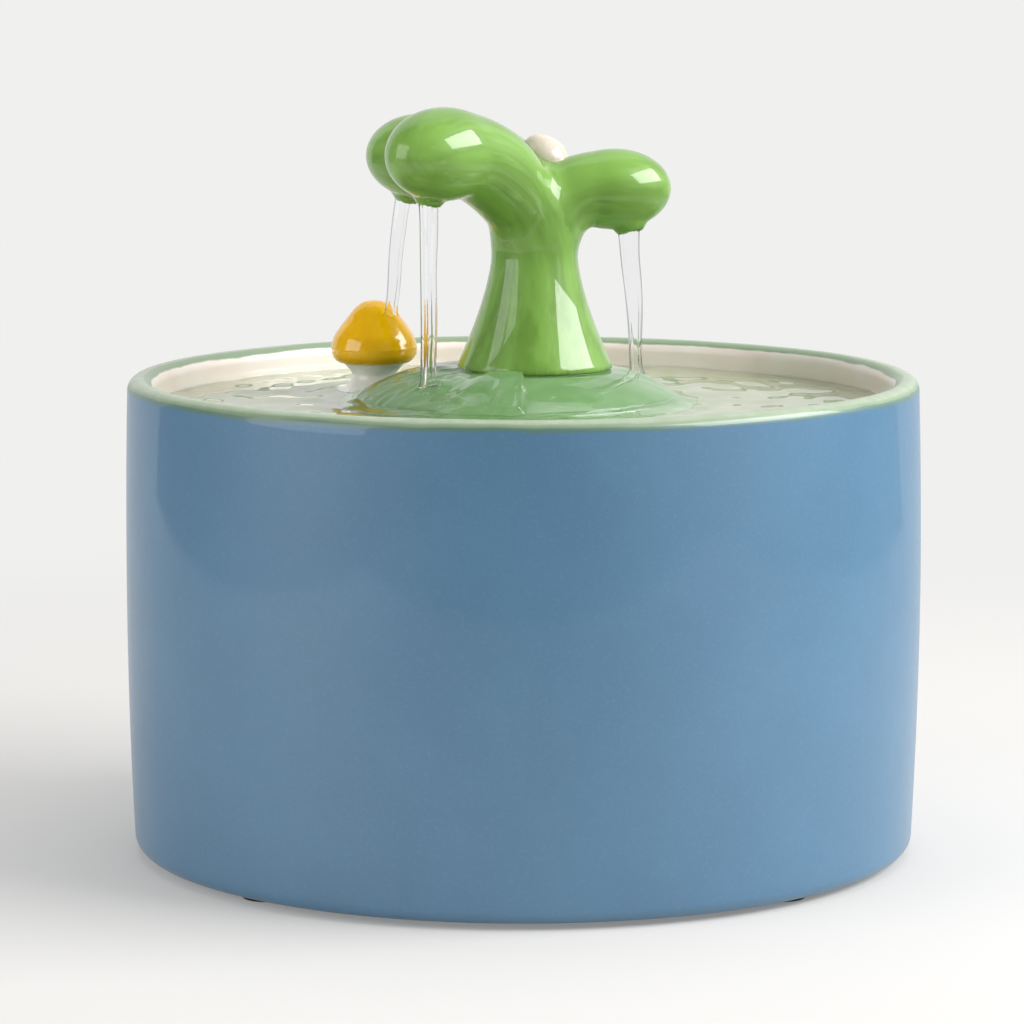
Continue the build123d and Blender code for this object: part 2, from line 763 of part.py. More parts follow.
with BuildPart() as volute_cover:
    with Locations((rotor_x, pump_front - cover_t / 2, pump_mid_z)):
        Box(pump_w, cover_t, pump_h)
    fillet(volute_cover.edges().filter_by(Axis.Y), pump_round)
    with BuildSketch(facing_rear(cover_front)):
        Circle(inlet_r)
    extrude(amount=cover_t, mode=Mode.SUBTRACT)
    # Spider that holds the front bush
    with BuildSketch(facing_rear(cover_front)):
        with PolarLocations(0, 3, start_angle=90):
            with Locations((inlet_r / 2 + 1, 0)):
                Rectangle(inlet_r, spoke_w)
        Circle(hub_r + 1)
        Circle(bush_r, mode=Mode.SUBTRACT)
    extrude(amount=cover_t)
    with BuildSketch(facing_rear(cover_front)):
        with Locations(*screw_spots):
            Circle(screw_r)
    extrude(amount=cover_t, mode=Mode.SUBTRACT)
volute_cover.part.label = "volute_cover"
export_step(volute_cover.part, "parts/volute_cover.step")

with BuildPart() as pump_screws:
    with BuildSketch(facing_rear(cover_front)):
        with Locations(*screw_spots):
            Circle(screw_r)
    extrude(amount=screw_len)
    with BuildSketch(facing_rear(cover_front)):
        with Locations(*screw_spots):
            Circle(screw_head_r)
    extrude(amount=-screw_head_r)
pump_screws.part.label = "pump_screws"
export_step(pump_screws.part, "parts/pump_screws.step")

# Strainer: a slotted box with a sponge inside, over the cover and inside the screw heads
strainer_w = pump_w - 2 * (screw_inset + screw_head_r + strainer_inset)
strainer_h = pump_h - 2 * strainer_inset
strainer_mid_z = pump_mid_z

with BuildPart() as strainer:
    with Locations((rotor_x, (cover_front + strainer_front) / 2, strainer_mid_z)):
        Box(strainer_w, strainer_depth, strainer_h)
    fillet(strainer.edges().filter_by(Axis.Y), pump_round / 2)
    with Locations((rotor_x, (cover_front + strainer_front + strainer_wall) / 2, strainer_mid_z)):
        Box(
            strainer_w - 2 * strainer_wall,
            strainer_depth - strainer_wall,
            strainer_h - 2 * strainer_wall,
            mode=Mode.SUBTRACT,
        )
    slot_pitch = (strainer_h - 2 * pump_round) / strainer_slots
    for side in (-1, 1):
        with BuildSketch(Plane((rotor_x, strainer_front, strainer_mid_z), x_dir=(1, 0, 0), z_dir=(0, -1, 0))):
            slot_w = strainer_w / 2 - dial_r - 3
            with Locations((side * (dial_r + 1 + slot_w / 2), 0)):
                with GridLocations(slot_w, slot_pitch, 1, strainer_slots):
                    Rectangle(slot_w, strainer_slot)
        extrude(amount=-strainer_wall, mode=Mode.SUBTRACT)
    with BuildSketch(facing_rear(strainer_front)):
        with PolarLocations(dial_window_circle, 3):
            Circle(dial_window_r)
        Circle(dial_pin_r + shaft_fit)
    extrude(amount=strainer_wall, mode=Mode.SUBTRACT)
strainer.part.label = "strainer"
export_step(strainer.part, "parts/strainer.step")

foam_front = strainer_front + dial_pin_len
with BuildPart() as foam_block:
    with Locations((rotor_x, (foam_front + cover_front) / 2, strainer_mid_z)):
        Box(
            strainer_w - 2 * strainer_wall - 2 * foam_gap,
            cover_front - foam_front,
            strainer_h - 2 * strainer_wall - 2 * foam_gap,
        )
    fillet(foam_block.edges().filter_by(Axis.Y), pump_round / 2)
foam_block.part.label = "foam_block"
export_step(foam_block.part, "parts/foam_block.step")

with BuildPart() as flow_dial:
    with BuildSketch(facing_rear(strainer_front - dial_gap)):
        Circle(dial_r)
        with PolarLocations(dial_window_circle, 3):
            Circle(dial_window_r, mode=Mode.SUBTRACT)
    extrude(amount=-dial_t)
    with BuildSketch(facing_rear(strainer_front - dial_gap)):
        Circle(dial_pin_r)
    extrude(amount=dial_pin_len - 1)
    with BuildSketch(facing_rear(strainer_front - dial_gap - dial_t)):
        Rectangle(dial_grip_w, 1.5 * dial_r)
    extrude(amount=-dial_t)
flow_dial.part.label = "flow_dial"
export_step(flow_dial.part, "parts/flow_dial.step")

# ---------------------------------------------------------------- rotor
magnet_y = volute_back - end_play

with BuildPart() as impeller_shaft:
    with BuildSketch(facing_rear(cover_front)):
        Circle(shaft_r)
    extrude(amount=well_end - cover_front - end_play)
impeller_shaft.part.label = "impeller_shaft"
export_step(impeller_shaft.part, "parts/impeller_shaft.step")

with BuildPart() as shaft_bushes:
    for bush_y, outer_r in ((cover_front, bush_r), (well_end - bush_t, well_r)):
        with BuildSketch(facing_rear(bush_y)):
            Circle(outer_r)
            Circle(shaft_r + shaft_fit, mode=Mode.SUBTRACT)
        extrude(amount=bush_t)
shaft_bushes.part.label = "shaft_bushes"
export_step(shaft_bushes.part, "parts/shaft_bushes.step")

with BuildPart() as rotor_magnet:
    with BuildSketch(facing_rear(magnet_y)):
        Circle(well_r - magnet_gap)
        Circle(shaft_r, mode=Mode.SUBTRACT)
    extrude(amount=magnet_len)
rotor_magnet.part.label = "rotor_magnet"
export_step(rotor_magnet.part, "parts/rotor_magnet.step")

with BuildPart() as impeller:
    with BuildSketch(facing_rear(magnet_y - plate_t)):
        Circle(volute_r - vane_gap)
    extrude(amount=plate_t)
    with BuildSketch(facing_rear(magnet_y - plate_t)):
        Circle(impeller_hub_r)
        with PolarLocations(0, blade_count):
            with Locations(((volute_r - vane_gap) / 2, 0)):
                Rectangle(volute_r - vane_gap, blade_t)
    extrude(amount=-blade_h)
    with BuildSketch(facing_rear(magnet_y - plate_t - blade_h)):
        Circle(shaft_r)
    extrude(amount=blade_h + plate_t, mode=Mode.SUBTRACT)
impeller.part.label = "impeller"
export_step(impeller.part, "parts/impeller.step")

# ---------------------------------------------------------------- motor
well_out_r = well_r + well_wall
cavity_top = pump_top - pump_wall
arm_x = pump_w / 2 - pump_wall - coil_t - core_gap - arm_w / 2
core_y = cavity_y + core_gap + coil_t
yoke_z = cavity_top - core_gap - yoke_h - rotor_z

with BuildPart() as stator_core:
    with BuildSketch(facing_rear(core_y)):
        for side in (-1, 1):
            with Locations((side * arm_x, yoke_z / 2 - well_out_r / 4)):
                Rectangle(arm_w, yoke_z + well_out_r / 2)
        with Locations((0, yoke_z + yoke_h / 2)):
            Rectangle(2 * arm_x + arm_w, yoke_h)
        Circle(well_out_r + core_gap, mode=Mode.SUBTRACT)
    extrude(amount=core_t)
stator_core.part.label = "stator_core"
export_step(stator_core.part, "parts/stator_core.step")

coil_foot = well_out_r + core_gap
with BuildPart() as stator_coils:
    for side in (-1, 1):
        with Locations((rotor_x + side * arm_x, core_y + core_t / 2, rotor_z + (coil_foot + yoke_z) / 2)):
            Box(arm_w + 2 * coil_t, core_t + 2 * coil_t, yoke_z - coil_foot - core_gap)
            Box(arm_w, core_t, yoke_z, mode=Mode.SUBTRACT)
stator_coils.part.label = "stator_coils"
export_step(stator_coils.part, "parts/stator_coils.step")

board_y = well_end + well_wall + core_gap
with BuildPart() as circuit_board:
    with Locations((rotor_x, board_y + board_t / 2, pump_mid_z)):
        Box(pump_w - 2 * pump_wall - 2 * core_gap, board_t, pump_h - 2 * pump_wall - 2 * core_gap)
circuit_board.part.label = "circuit_board"
export_step(circuit_board.part, "parts/circuit_board.step")

with BuildPart() as pump_potting:
    with Locations((rotor_x, pump_rear - potting_t / 2, pump_mid_z)):
        Box(pump_w - 2 * pump_wall, potting_t, pump_h - 2 * pump_wall)
pump_potting.part.label = "pump_potting"
export_step(pump_potting.part, "parts/pump_potting.step")

# ---------------------------------------------------------------- riser
riser_tube = ring(riser_out_r, riser_in_r, pump_top, riser_top, sprout_x)
riser_tube.label = "riser_tube"
export_step(riser_tube, "parts/riser_tube.step")
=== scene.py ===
"""Ceramic pet water fountain: glazed basin, green dome and sprout, yellow mushroom and running water.

Every surface is worked out with numpy from a formula given in words. Lengths in the formulas are
millimetres, and put_mesh turns them into metres.
"""
import math

import bpy
import numpy as np
from bpy.props import FloatProperty, FloatVectorProperty, IntProperty, PointerProperty
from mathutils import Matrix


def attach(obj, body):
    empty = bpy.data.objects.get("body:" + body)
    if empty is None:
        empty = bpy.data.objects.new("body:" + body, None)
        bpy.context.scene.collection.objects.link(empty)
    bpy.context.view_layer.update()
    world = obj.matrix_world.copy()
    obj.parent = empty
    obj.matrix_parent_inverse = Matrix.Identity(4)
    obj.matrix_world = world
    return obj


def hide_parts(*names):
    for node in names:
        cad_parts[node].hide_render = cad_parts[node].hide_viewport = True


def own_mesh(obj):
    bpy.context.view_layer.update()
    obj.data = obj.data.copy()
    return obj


bl_info = {
    "name": "Pet water fountain",
    "version": (1, 0, 0),
    "blender": (4, 5, 0),
    "location": "View3D > Sidebar > Fountain",
    "description": "Builds the glazed surfaces, water and studio of a ceramic pet fountain",
    "category": "Object",
}

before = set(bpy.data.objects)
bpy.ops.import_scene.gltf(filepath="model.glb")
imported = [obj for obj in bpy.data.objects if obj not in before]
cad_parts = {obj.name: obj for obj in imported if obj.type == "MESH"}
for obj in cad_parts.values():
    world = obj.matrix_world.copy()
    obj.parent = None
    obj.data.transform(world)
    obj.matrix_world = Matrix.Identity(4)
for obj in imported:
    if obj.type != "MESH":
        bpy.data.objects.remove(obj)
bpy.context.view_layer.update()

MM = 0.001
TAU = 2 * math.pi


# ---------------------------------------------------------------- shared helpers
def linear(colour):
    """An sRGB hex value as linear red, green, blue and alpha."""
    value = np.array([int(colour[i:i + 2], 16) for i in (1, 3, 5)]) / 255
    flat = np.where(value <= 0.04045, value / 12.92, ((value + 0.055) / 1.055) ** 2.4)
    return (*flat.tolist(), 1.0)


def add_node(tree, kind, links=None, **settings):
    """Adds a node. Settings are its properties or, by name or _index, its input values; links feed its inputs."""
    node = tree.nodes.new(kind)
    for name, value in settings.items():
        key = int(name[1:]) if name[1:].isdigit() else name.replace("_", " ")
        if hasattr(node, name) and name not in node.inputs:
            setattr(node, name, value)
        else:
            node.inputs[key].default_value = value
    for key, socket in (links or {}).items():
        tree.links.new(socket, node.inputs[key])
    return node


def smoothstep(value):
    """0 below 0, 1 above 1, and 3v^2 - 2v^3 between."""
    v = np.clip(value, 0.0, 1.0)
    return v * v * (3 - 2 * v)


def waves(points, seed, length, count=7):
    """Smooth noise from -1 to 1: the mean of sine waves in random directions, near one wavelength in mm."""
    draw = np.random.default_rng(seed)
    heading = draw.normal(size=(count, points.shape[-1]))
    heading /= np.linalg.norm(heading, axis=1, keepdims=True)
    step = TAU / (length * draw.uniform(0.7, 1.5, count))
    phase = draw.uniform(0, TAU, count)
    return np.sin(points @ (heading * step[:, None]).T + phase).mean(axis=-1) * math.sqrt(count / 2)


def put_mesh(name, vertices, faces, body, material, sharp=None):
    """Makes an object at the origin from vertices in mm, smooth shaded, and lets it ride on a body."""
    mesh = bpy.data.meshes.new(name)
    mesh.from_pydata((np.asarray(vertices) * MM).tolist(), [], faces.tolist())
    mesh.shade_smooth()
    if sharp:
        mesh.set_sharp_from_angle(angle=math.radians(sharp))
    mesh.materials.append(material)
    piece = bpy.data.objects.new(name, mesh)
    bpy.context.scene.collection.objects.link(piece)
    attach(piece, body)
    return piece


def grid_faces(rows, columns, rows_meet=False, first=0):
    """Quads of a grid whose columns run round in a circle; rows_meet joins the last row to the first."""
    row = np.arange(rows if rows_meet else rows - 1)[:, None]
    column = np.arange(columns)[None, :]
    after, beside = (row + 1) % rows, (column + 1) % columns
    quads = [row * columns + column, row * columns + beside, after * columns + beside, after * columns + column]
    return np.stack([np.broadcast_to(q, (len(row), columns)) for q in quads], -1).reshape(-1, 4) + first


def closed_rings(rings):
    """Vertices and quads of a stack of rings, closed at both ends by a fan of quads that meet in one point."""
    rows, columns, _ = rings.shape
    ends = np.stack([rings[0].mean(0), rings[-1].mean(0)])
    vertices = np.concatenate([rings.reshape(-1, 3), ends])
    side = grid_faces(rows, columns)
    step = np.arange(0, columns, 2)
    low = np.stack([(step + 2) % columns, step + 1, step, np.full_like(step, rows * columns)], -1)
    top = (rows - 1) * columns
    high = np.stack([top + step, top + step + 1, top + (step + 2) % columns,
                     np.full_like(step, rows * columns + 1)], -1)
    return vertices, np.concatenate([side, low, high])


def arc(centre, radius, start, end, count):
    """Points of a circle's arc, or an ellipse's with two radii, between two angles in degrees."""
    turn = np.radians(np.linspace(start, end, count))
    size = np.broadcast_to(radius, 2)
    return np.stack([centre[0] + size[0] * np.cos(turn), centre[1] + size[1] * np.sin(turn)], -1)


def lathe(profile, columns, axis=(0.0, 0.0)):
    """Rings made by turning a profile of radius and height about a vertical axis."""
    turn = np.linspace(0, TAU, columns, endpoint=False)
    r, z = profile[:, :1], np.broadcast_to(profile[:, 1:], (len(profile), columns))
    return np.stack([axis[0] + r * np.cos(turn), axis[1] + r * np.sin(turn), z], -1)


def evened(profile, step):
    """The same profile with its points spread evenly, about one step apart."""
    length = np.concatenate([[0], np.cumsum(np.linalg.norm(np.diff(profile, axis=0), axis=1))])
    at = np.linspace(0, length[-1], max(2, int(length[-1] / step)))
    return np.stack([np.interp(at, length, profile[:, k]) for k in (0, 1)], -1)


def set_attribute(mesh, name, kind, values):
    """Stores one value or vector for each vertex."""
    layer = mesh.attributes.new(name, kind, "POINT")
    layer.data.foreach_set("vector" if kind == "FLOAT_VECTOR" else "value", np.asarray(values, np.float32).ravel())


# ---------------------------------------------------------------- sizes shared by several pieces
RIM_Z = 120.8
BASE_Z = 1.2
BASIN_R = 100.0
WALL = 6.8
TRAY_TOP = 106.0
DOME_X = -1.5
DOME_R = 46.0
DOME_H = 18.8
SEAT_Z = 122.0
SPROUT_X = 2.8
FOOT_Z = 122.8
MUSHROOM_AT = (-38.5, 28.0)
# Each arm's angle, reach, rise, radius, share of the reach that bends, share of the bend over which it thickens, and
# the fillet where it runs into the rest
ARMS = np.array([
    [226.0, 32.6, 54.9, 11.6, 0.97, 0.68, 4.2],
    [148.0, 33.8, 51.9, 10.9, 0.63, 0.88, 4.5],
    [12.0, 20.5, 44.5, 10.2, 0.79, 0.55, 4.8],
])
# Half length of an arm's rounded end, as a share of its radius
TIP = 1.43
STEM_H = 31.0
NECK_R = 10.65
# Angle and reach of the outlet under each arm
OUTLETS = np.array([[221.0, 35.0], [146.5, 39.0], [8.0, 24.5]])
# The bud's half length, its half width, its middle and its tilt
BUD = (6.4, 4.9, (5.6, 4.0, 175.6), 50.0)
# Hole in the dome for the sprout's plug, the dome's hollow, and the two edges of the water on it
HOLE_R = 8.35
HOLLOW_R = 41.5
FILM_TOP_R = 18.7
FILM_EDGE_R = 41.2
LEDGE_Z = 100.0
POOL_BED_Z = 105.75
# Name, top and bottom, widths there, radius of the rims, twist in degrees, seed, and the way that the sheet faces
STREAMS = (
    ("stream_front", (-23.5, -23.2, 167.4), (-23.3, -23.6, 120.0), (4.7, 3.9), 0.78, 10.0, 51, 0.0),
    ("stream_back", (-29.9, 21.5, 166.2), (-34.0, 23.2, 133.4), (4.3, 3.3), 0.5, 12.0, 61, 6.0),
    ("stream_right", (25.9, 3.4, 159.6), (28.9, 4.0, 120.4), (6.0, 3.7), 0.5, 40.0, 71, -6.0),
)


# ---------------------------------------------------------------- surfaces
def through(points, count):
    """A smooth line through points: cubic pieces whose slope at a point is that of the line between its neighbours."""
    points = np.asarray(points, float)
    slope = np.gradient(points, axis=0)
    at = np.linspace(0, len(points) - 1, count)
    low = np.minimum(at.astype(int), len(points) - 2)
    t = (at - low)[:, None]
    a, b, da, db = points[low], points[low + 1], slope[low], slope[low + 1]
    return ((2 * t**3 - 3 * t**2 + 1) * a + (t**3 - 2 * t**2 + t) * da
            + (3 * t**2 - 2 * t**3) * b + (t**3 - t**2) * db)


def basin_surface(columns):
    """A lathe turn of the wall's section: foot ring, slightly bulging side, half-round lip, ledge and rounded floor.

    The side's radius is a straight line plus a parabola. Hand-thrown waviness pulls the wall in by up to 0.25 mm,
    and the gland's seat is a flat pressed into the rear wall. Returns the run along the section from the lip's top,
    positive outside.
    """
    inner = BASIN_R - WALL
    base_r, lean, bulge, base_edge, shoulder, floor_edge = 99.2, 0.8, 4.4, 3.5, 2.9, 9.0
    gland_z, gland_r = 24.0, 9.0
    low_z = BASE_Z + base_edge
    rise = np.linspace(0, 1, 70)
    side = np.stack([base_r + lean * rise + bulge * rise * (1 - rise), low_z + (RIM_Z - shoulder - low_z) * rise], -1)
    lip = np.concatenate([arc((BASIN_R - shoulder, RIM_Z - shoulder), shoulder, 0, 90, 13),
                          arc((BASIN_R - WALL / 2, RIM_Z - WALL / 2), WALL / 2, 92, 180, 13)])
    outside = np.concatenate([
        evened(np.array([[0.5, 3.2], [77.6, 3.2]]), 8.0), [[78.0, 3.2], [80.0, BASE_Z]],
        arc((base_r - base_edge, low_z), base_edge, -90, 0, 8)[:-1], side[:-1], lip[:13],
    ])
    inside = np.concatenate([
        lip[13:], evened(np.array([[inner, RIM_Z - WALL / 2], [inner, LEDGE_Z + 0.2]]), 2.0)[1:],
        [[inner - 0.2, LEDGE_Z], [inner - 3.8, LEDGE_Z], [inner - 4.0, LEDGE_Z - 0.2], [inner - 4.0, LEDGE_Z - 2.8],
         [inner - 3.8, LEDGE_Z - 3.2]],
        evened(np.array([[inner, 93.0], [inner, 17.2]]), 8.0),
        arc((inner - floor_edge, 17.2), floor_edge, 0, -90, 8)[1:], evened(np.array([[80.0, 8.2], [0.5, 8.2]]), 8.0),
    ])
    profile = np.concatenate([outside, inside])
    length = np.concatenate([[0], np.cumsum(np.linalg.norm(np.diff(profile, axis=0), axis=1))])
    run = length[len(outside) - 1] - length
    rings = lathe(profile, columns)
    pull = 0.12 + 0.12 * waves(rings, 3, 70.0)
    rings[..., :2] *= 1 - (pull / BASIN_R)[..., None]
    rings[..., 2] -= np.where(profile[:, 1:] > LEDGE_Z, 0.12 + 0.12 * waves(rings[..., :2], 5, 90.0), 0)
    seat = smoothstep((gland_r - np.hypot(rings[..., 0], rings[..., 2] - gland_z)) / 1.2) * (rings[..., 1] > 96)
    rings[..., 1] += seat * (np.minimum(rings[..., 1], 99.0) - rings[..., 1])
    vertices, faces = closed_rings(rings)
    return vertices, faces, np.concatenate([np.repeat(run, columns), run[[0, -1]]])


def dome_height(x, y):
    """Height of the dome's glaze: an ellipsoid cut flat at the seat, with the edge of the flat softened."""
    spread = np.clip(np.hypot(x - DOME_X, y) / DOME_R, 0, 1)
    bulge = TRAY_TOP + DOME_H * np.sqrt(1 - spread**2)
    soft = 0.35
    return -soft * np.logaddexp(-bulge / soft, -SEAT_Z / soft)


def dome_surface(columns):
    """The dome's shell: an ellipsoid outside, a flatter one inside, and rings that shift from the hole to the edge.

    A ring's centre and radius run in a straight line from those of the hole, which the sprout's plug fills, to those
    of the dome's edge. A low round flange with a peg stands beside it for the mushroom.
    """
    turn = np.linspace(0, TAU, columns, endpoint=False)
    share = np.concatenate([np.sin(np.linspace(math.pi / 2, 0.45, 60)), np.linspace(0.42, 0, 24)])[:, None]
    centre = SPROUT_X + (DOME_X - SPROUT_X) * share
    radius = HOLE_R + (DOME_R - HOLE_R) * share
    x, y = centre + radius * np.cos(turn), radius * np.sin(turn)
    outer = np.stack([x, y, dome_height(x, y)], -1)
    outer[0, :, 2] = TRAY_TOP
    radius_in = HOLE_R + (HOLLOW_R - HOLE_R) * share[::-1]
    x, y = centre[::-1] + radius_in * np.cos(turn), radius_in * np.sin(turn)
    ceiling = TRAY_TOP + 12.0 * np.sqrt(np.clip(1 - ((x - DOME_X)**2 + y**2) / HOLLOW_R**2, 0, 1))
    rings = np.concatenate([outer, np.stack([x, y, ceiling], -1)])
    faces = grid_faces(len(rings), columns, rows_meet=True)
    flange = np.concatenate([
        [[0.4, TRAY_TOP], [9.6, TRAY_TOP], [9.8, TRAY_TOP + 0.2]], arc((9.4, TRAY_TOP + 1.6), 0.4, 0, 90, 4),
        [[3.2, TRAY_TOP + 2.0], [3.0, TRAY_TOP + 2.2]], arc((2.6, TRAY_TOP + 7.6), 0.4, 0, 90, 4),
        [[0.3, TRAY_TOP + 8]],
    ])
    more, more_faces = closed_rings(lathe(flange, 64, MUSHROOM_AT))
    vertices = np.concatenate([rings.reshape(-1, 3), more])
    return vertices, np.concatenate([faces, more_faces + rings.size // 3])


def arm_spine(arm, count=120):
    """An arm's centre line in its own upright plane: up the stem, a quarter turn outwards, then level.

    Returns points, unit directions, the run, the radius of the section, and the radius of the ball at each point
    that fills the arm. The arm is half as thick inside the stem, 0.92 of its radius past the bend, and ends in an
    ellipsoid whose half length is TIP times its radius. Balls of radius b sqrt(1 - x^2 / (a^2 - b^2)) fill an
    ellipsoid.
    """
    angle, reach, rise, radius, share, gather, _ = arm
    climb = rise - 20.0
    bend = share * min(climb, reach)
    upright, quarter, level = climb - bend + 6.0, bend * math.pi / 2, reach - bend
    start, total = upright + quarter + level, upright + quarter + level + TIP * radius
    run = total * (1 - np.cos(np.linspace(0.05, math.pi - 0.03, count))) / 2
    turn = np.clip((run - upright) / bend, 0, math.pi / 2)
    out = bend * (1 - np.cos(turn)) + np.clip(run - upright - quarter, 0, None)
    up = 14.0 + np.minimum(run, upright) + bend * np.sin(turn)
    ahead = np.array([math.cos(math.radians(angle)), math.sin(math.radians(angle)), 0.0])
    points = np.stack([out * ahead[0] + SPROUT_X, out * ahead[1], up + FOOT_Z], -1)
    direction = np.sin(turn)[:, None] * ahead + np.cos(turn)[:, None] * np.array([0, 0, 1.0])
    past = (run - start) / radius
    thin = 0.5 + 0.5 * smoothstep(run / (upright + gather * quarter))
    behind = thin * (0.92 + 0.08 * np.exp(-(past / 0.41)**2))
    section = np.where(past > 0, np.sqrt(1 - np.clip(past / TIP, 0, 1)**2), behind)
    ball = np.where(past > 0, np.sqrt(np.clip(1 - past**2 / (TIP**2 - 1), 0, 1)), behind)
    ball = np.where(past < TIP - 1 / TIP, ball, -9.0)
    return points, direction, run, radius * section * np.sqrt(1 - np.clip(1 - run / 6.0, 0, 1)**2), radius * ball


def tube(points, direction, radius, columns=96):
    """Circles carried along a line, square to its direction; all of the line lies in one upright plane."""
    level = np.cross(direction, [0, 0, 1.0])
    flat = np.linalg.norm(level, axis=1, keepdims=True)
    level = level[np.argmax(flat)] / flat.max()
    other = np.cross(direction, level)
    turn = np.linspace(0, TAU, columns, endpoint=False)[None, :, None]
    return points[:, None] + radius[:, None, None] * (np.cos(turn) * level - np.sin(turn) * other[:, None])


def flare_radius(height):
    """Radius of the stem at a height above its foot: a power curve that leans in from the foot to the neck."""
    t = np.clip(height / 30.0, 0, 1)
    return NECK_R + 9.3 * (1 - t)**1.57


def sprout_rough():
    """Closed tubes that cross: the flared stem, with the plug's recess in its foot, and the three arms."""
    height = np.linspace(0.5, STEM_H, 40)
    stem = np.concatenate([
        [[0.4, 9.0], [7.35, 9.0], [7.35, 2.2], [12.85, 2.15], [12.85, 0.0], [16.5, 0.0], [17.0, -0.6], [19.4, -0.6],
         [19.75, -0.4]],
        np.stack([flare_radius(height), height], -1), arc((0, STEM_H), NECK_R, 4, 88, 16),
    ])
    stem[:, 1] += FOOT_Z
    parts = [closed_rings(lathe(stem, 128, (SPROUT_X, 0.0)))]
    for arm in ARMS:
        points, direction, _, section, _ = arm_spine(arm)
        parts.append(closed_rings(tube(points, direction, section)))
    vertices, faces, first = [], [], 0
    for more, more_faces in parts:
        vertices.append(more)
        faces.append(more_faces + first)
        first += len(more)
    return np.concatenate(vertices), np.concatenate(faces)


def soft_least(first, second, reach):
    """The lesser of two distances, rounded off where their gap is under reach: min - (reach - gap)^2 / 4 reach."""
    near = np.clip(reach - np.abs(first - second), 0, None)
    return np.minimum(first, second) - near**2 / (4 * reach)


def sprout_distance(points):
    """How far points are outside the sprout: stem and arms, with the thumbed fillets where they run together."""
    x, y, z = points[:, 0] - SPROUT_X, points[:, 1], points[:, 2] - FOOT_Z
    away = np.hypot(np.hypot(x, y), np.clip(z - STEM_H, 0, None)) - flare_radius(z)
    for arm in ARMS:
        centres, _, _, _, ball = arm_spine(arm)
        square = (points**2).sum(1)[:, None] + (centres**2).sum(1) - 2 * points @ centres.T
        away = soft_least(away, (np.sqrt(np.clip(square, 0, None)) - ball).min(1), arm[6])
    return away


def settled(points):
    """Moves the points of the rough sprout onto its smooth surface by Newton's steps; the foot's inside stays."""
    height, across = points[:, 2] - FOOT_Z, np.hypot(points[:, 0] - SPROUT_X, points[:, 1])
    free = smoothstep((height - 0.4) / 1.2) * ((across > 14.5) | (height > 12))
    for _ in range(5):
        away = sprout_distance(points)
        slope = np.stack([(sprout_distance(points + step) - away) / 0.02 for step in 0.02 * np.eye(3)], -1)
        points = points - (free * away / (slope**2).sum(1))[:, None] * slope
    return points


def with_outlets(points):
    """Presses an outlet 4 mm deep into each arm's underside, with a round lip that hangs 1.6 mm below the glaze."""
    for (angle, reach), arm in zip(OUTLETS, ARMS):
        at = np.array([SPROUT_X + reach * math.cos(math.radians(angle)), reach * math.sin(math.radians(angle))])
        away = np.linalg.norm(points[:, :2] - at, axis=1)
        under = (points[:, 2] < FOOT_Z + arm[2]) & (points[:, 2] > FOOT_Z + arm[2] - 2 * arm[3])
        points[:, 2] += (4.0 * smoothstep((2.7 - away) / 1.2) - 1.6 * np.exp(-((away - 3.0) / 0.9)**2)) * under
    return points


def along_arms(points):
    """Where each point lies on the nearest arm: its run along the centre line, and its offset from that line."""
    best = np.full(len(points), np.inf)
    flow = np.zeros((len(points), 3))
    for arm in ARMS:
        spine, direction, run, _, _ = arm_spine(arm)
        away = ((points[:, None] - spine[None])**2).sum(-1)
        near = away.argmin(1)
        close = away[np.arange(len(points)), near] / arm[3]**2
        offset = points - spine[near]
        level = np.cross(direction[-1], [0, 0, 1.0])
        up = np.cross(level, direction[near])
        flat = np.stack([run[near], offset @ level, (offset * up).sum(-1)], -1)
        better = close < best
        best = np.where(better, close, best)
        flow = np.where(better[:, None], flat, flow)
    return flow


def egg_surface(long_r, short_r, centre, tilt, rows=48, columns=64):
    """An ellipsoid whose half towards the tip is narrower: its radius is times 1 - 0.1 t, with t from -1 to 1."""
    turn = np.linspace(-88, 88, rows)
    t = np.sin(np.radians(turn))[:, None]
    around = np.linspace(0, TAU, columns, endpoint=False)
    r = short_r * np.cos(np.radians(turn))[:, None] * (1 - 0.1 * t)
    rings = np.stack([r * np.cos(around), r * np.sin(around), np.broadcast_to(long_r * t, (rows, columns))], -1)
    lean = math.radians(tilt)
    along = np.array([-math.cos(lean), 0.0, math.sin(lean)])
    across = np.array([math.sin(lean), 0.0, math.cos(lean)])
    level = np.cross(along, across)
    rings = rings[..., :1] * across + rings[..., 1:2] * level + rings[..., 2:] * along
    rings += 0.15 * waves(rings, 11, 6.0)[..., None] * rings / short_r
    return closed_rings(rings + np.array(centre))


def stem_surface():
    """The mushroom's stem: a lathe turn of a waisted section, with a socket below for the peg and a stub above.

    The turned shape wavers by 0.12 mm. Its foot is hollowed where it would meet the dome: there it follows an
    ellipsoid a little larger than the dome.
    """
    gap = 0.35
    side = through([[9.8, 2.0], [9.75, 4.2], [8.9, 6.8], [6.9, 9.2], [5.75, 12.0], [8.0, 14.8]], 60)
    section = np.concatenate([
        [[0.3, 8.35], [3.2, 8.35], [3.35, 8.2], [3.35, 2.2], [3.5, 2.0]], side,
        [[7.8, 14.9], [3.2, 14.9], [3.1, 15.0], [3.1, 18.6], [3.0, 18.7], [0.3, 18.7]],
    ]) + [0, TRAY_TOP]
    rings = lathe(section, 96, MUSHROOM_AT)
    rings[..., :2] += 0.12 * waves(rings, 41, 14.0)[..., None] * (rings[..., :2] - MUSHROOM_AT) / 9.0
    level = np.clip((rings[..., 2] - TRAY_TOP) / (DOME_H + gap), 0, 1)
    least = (DOME_R + gap) * np.sqrt(1 - level**2)
    from_dome = rings[..., :2] - [DOME_X, 0.0]
    away = np.linalg.norm(from_dome, axis=-1)
    rings[..., :2] += from_dome * (np.clip(least - away, 0, None) / away)[..., None]
    return closed_rings(rings)


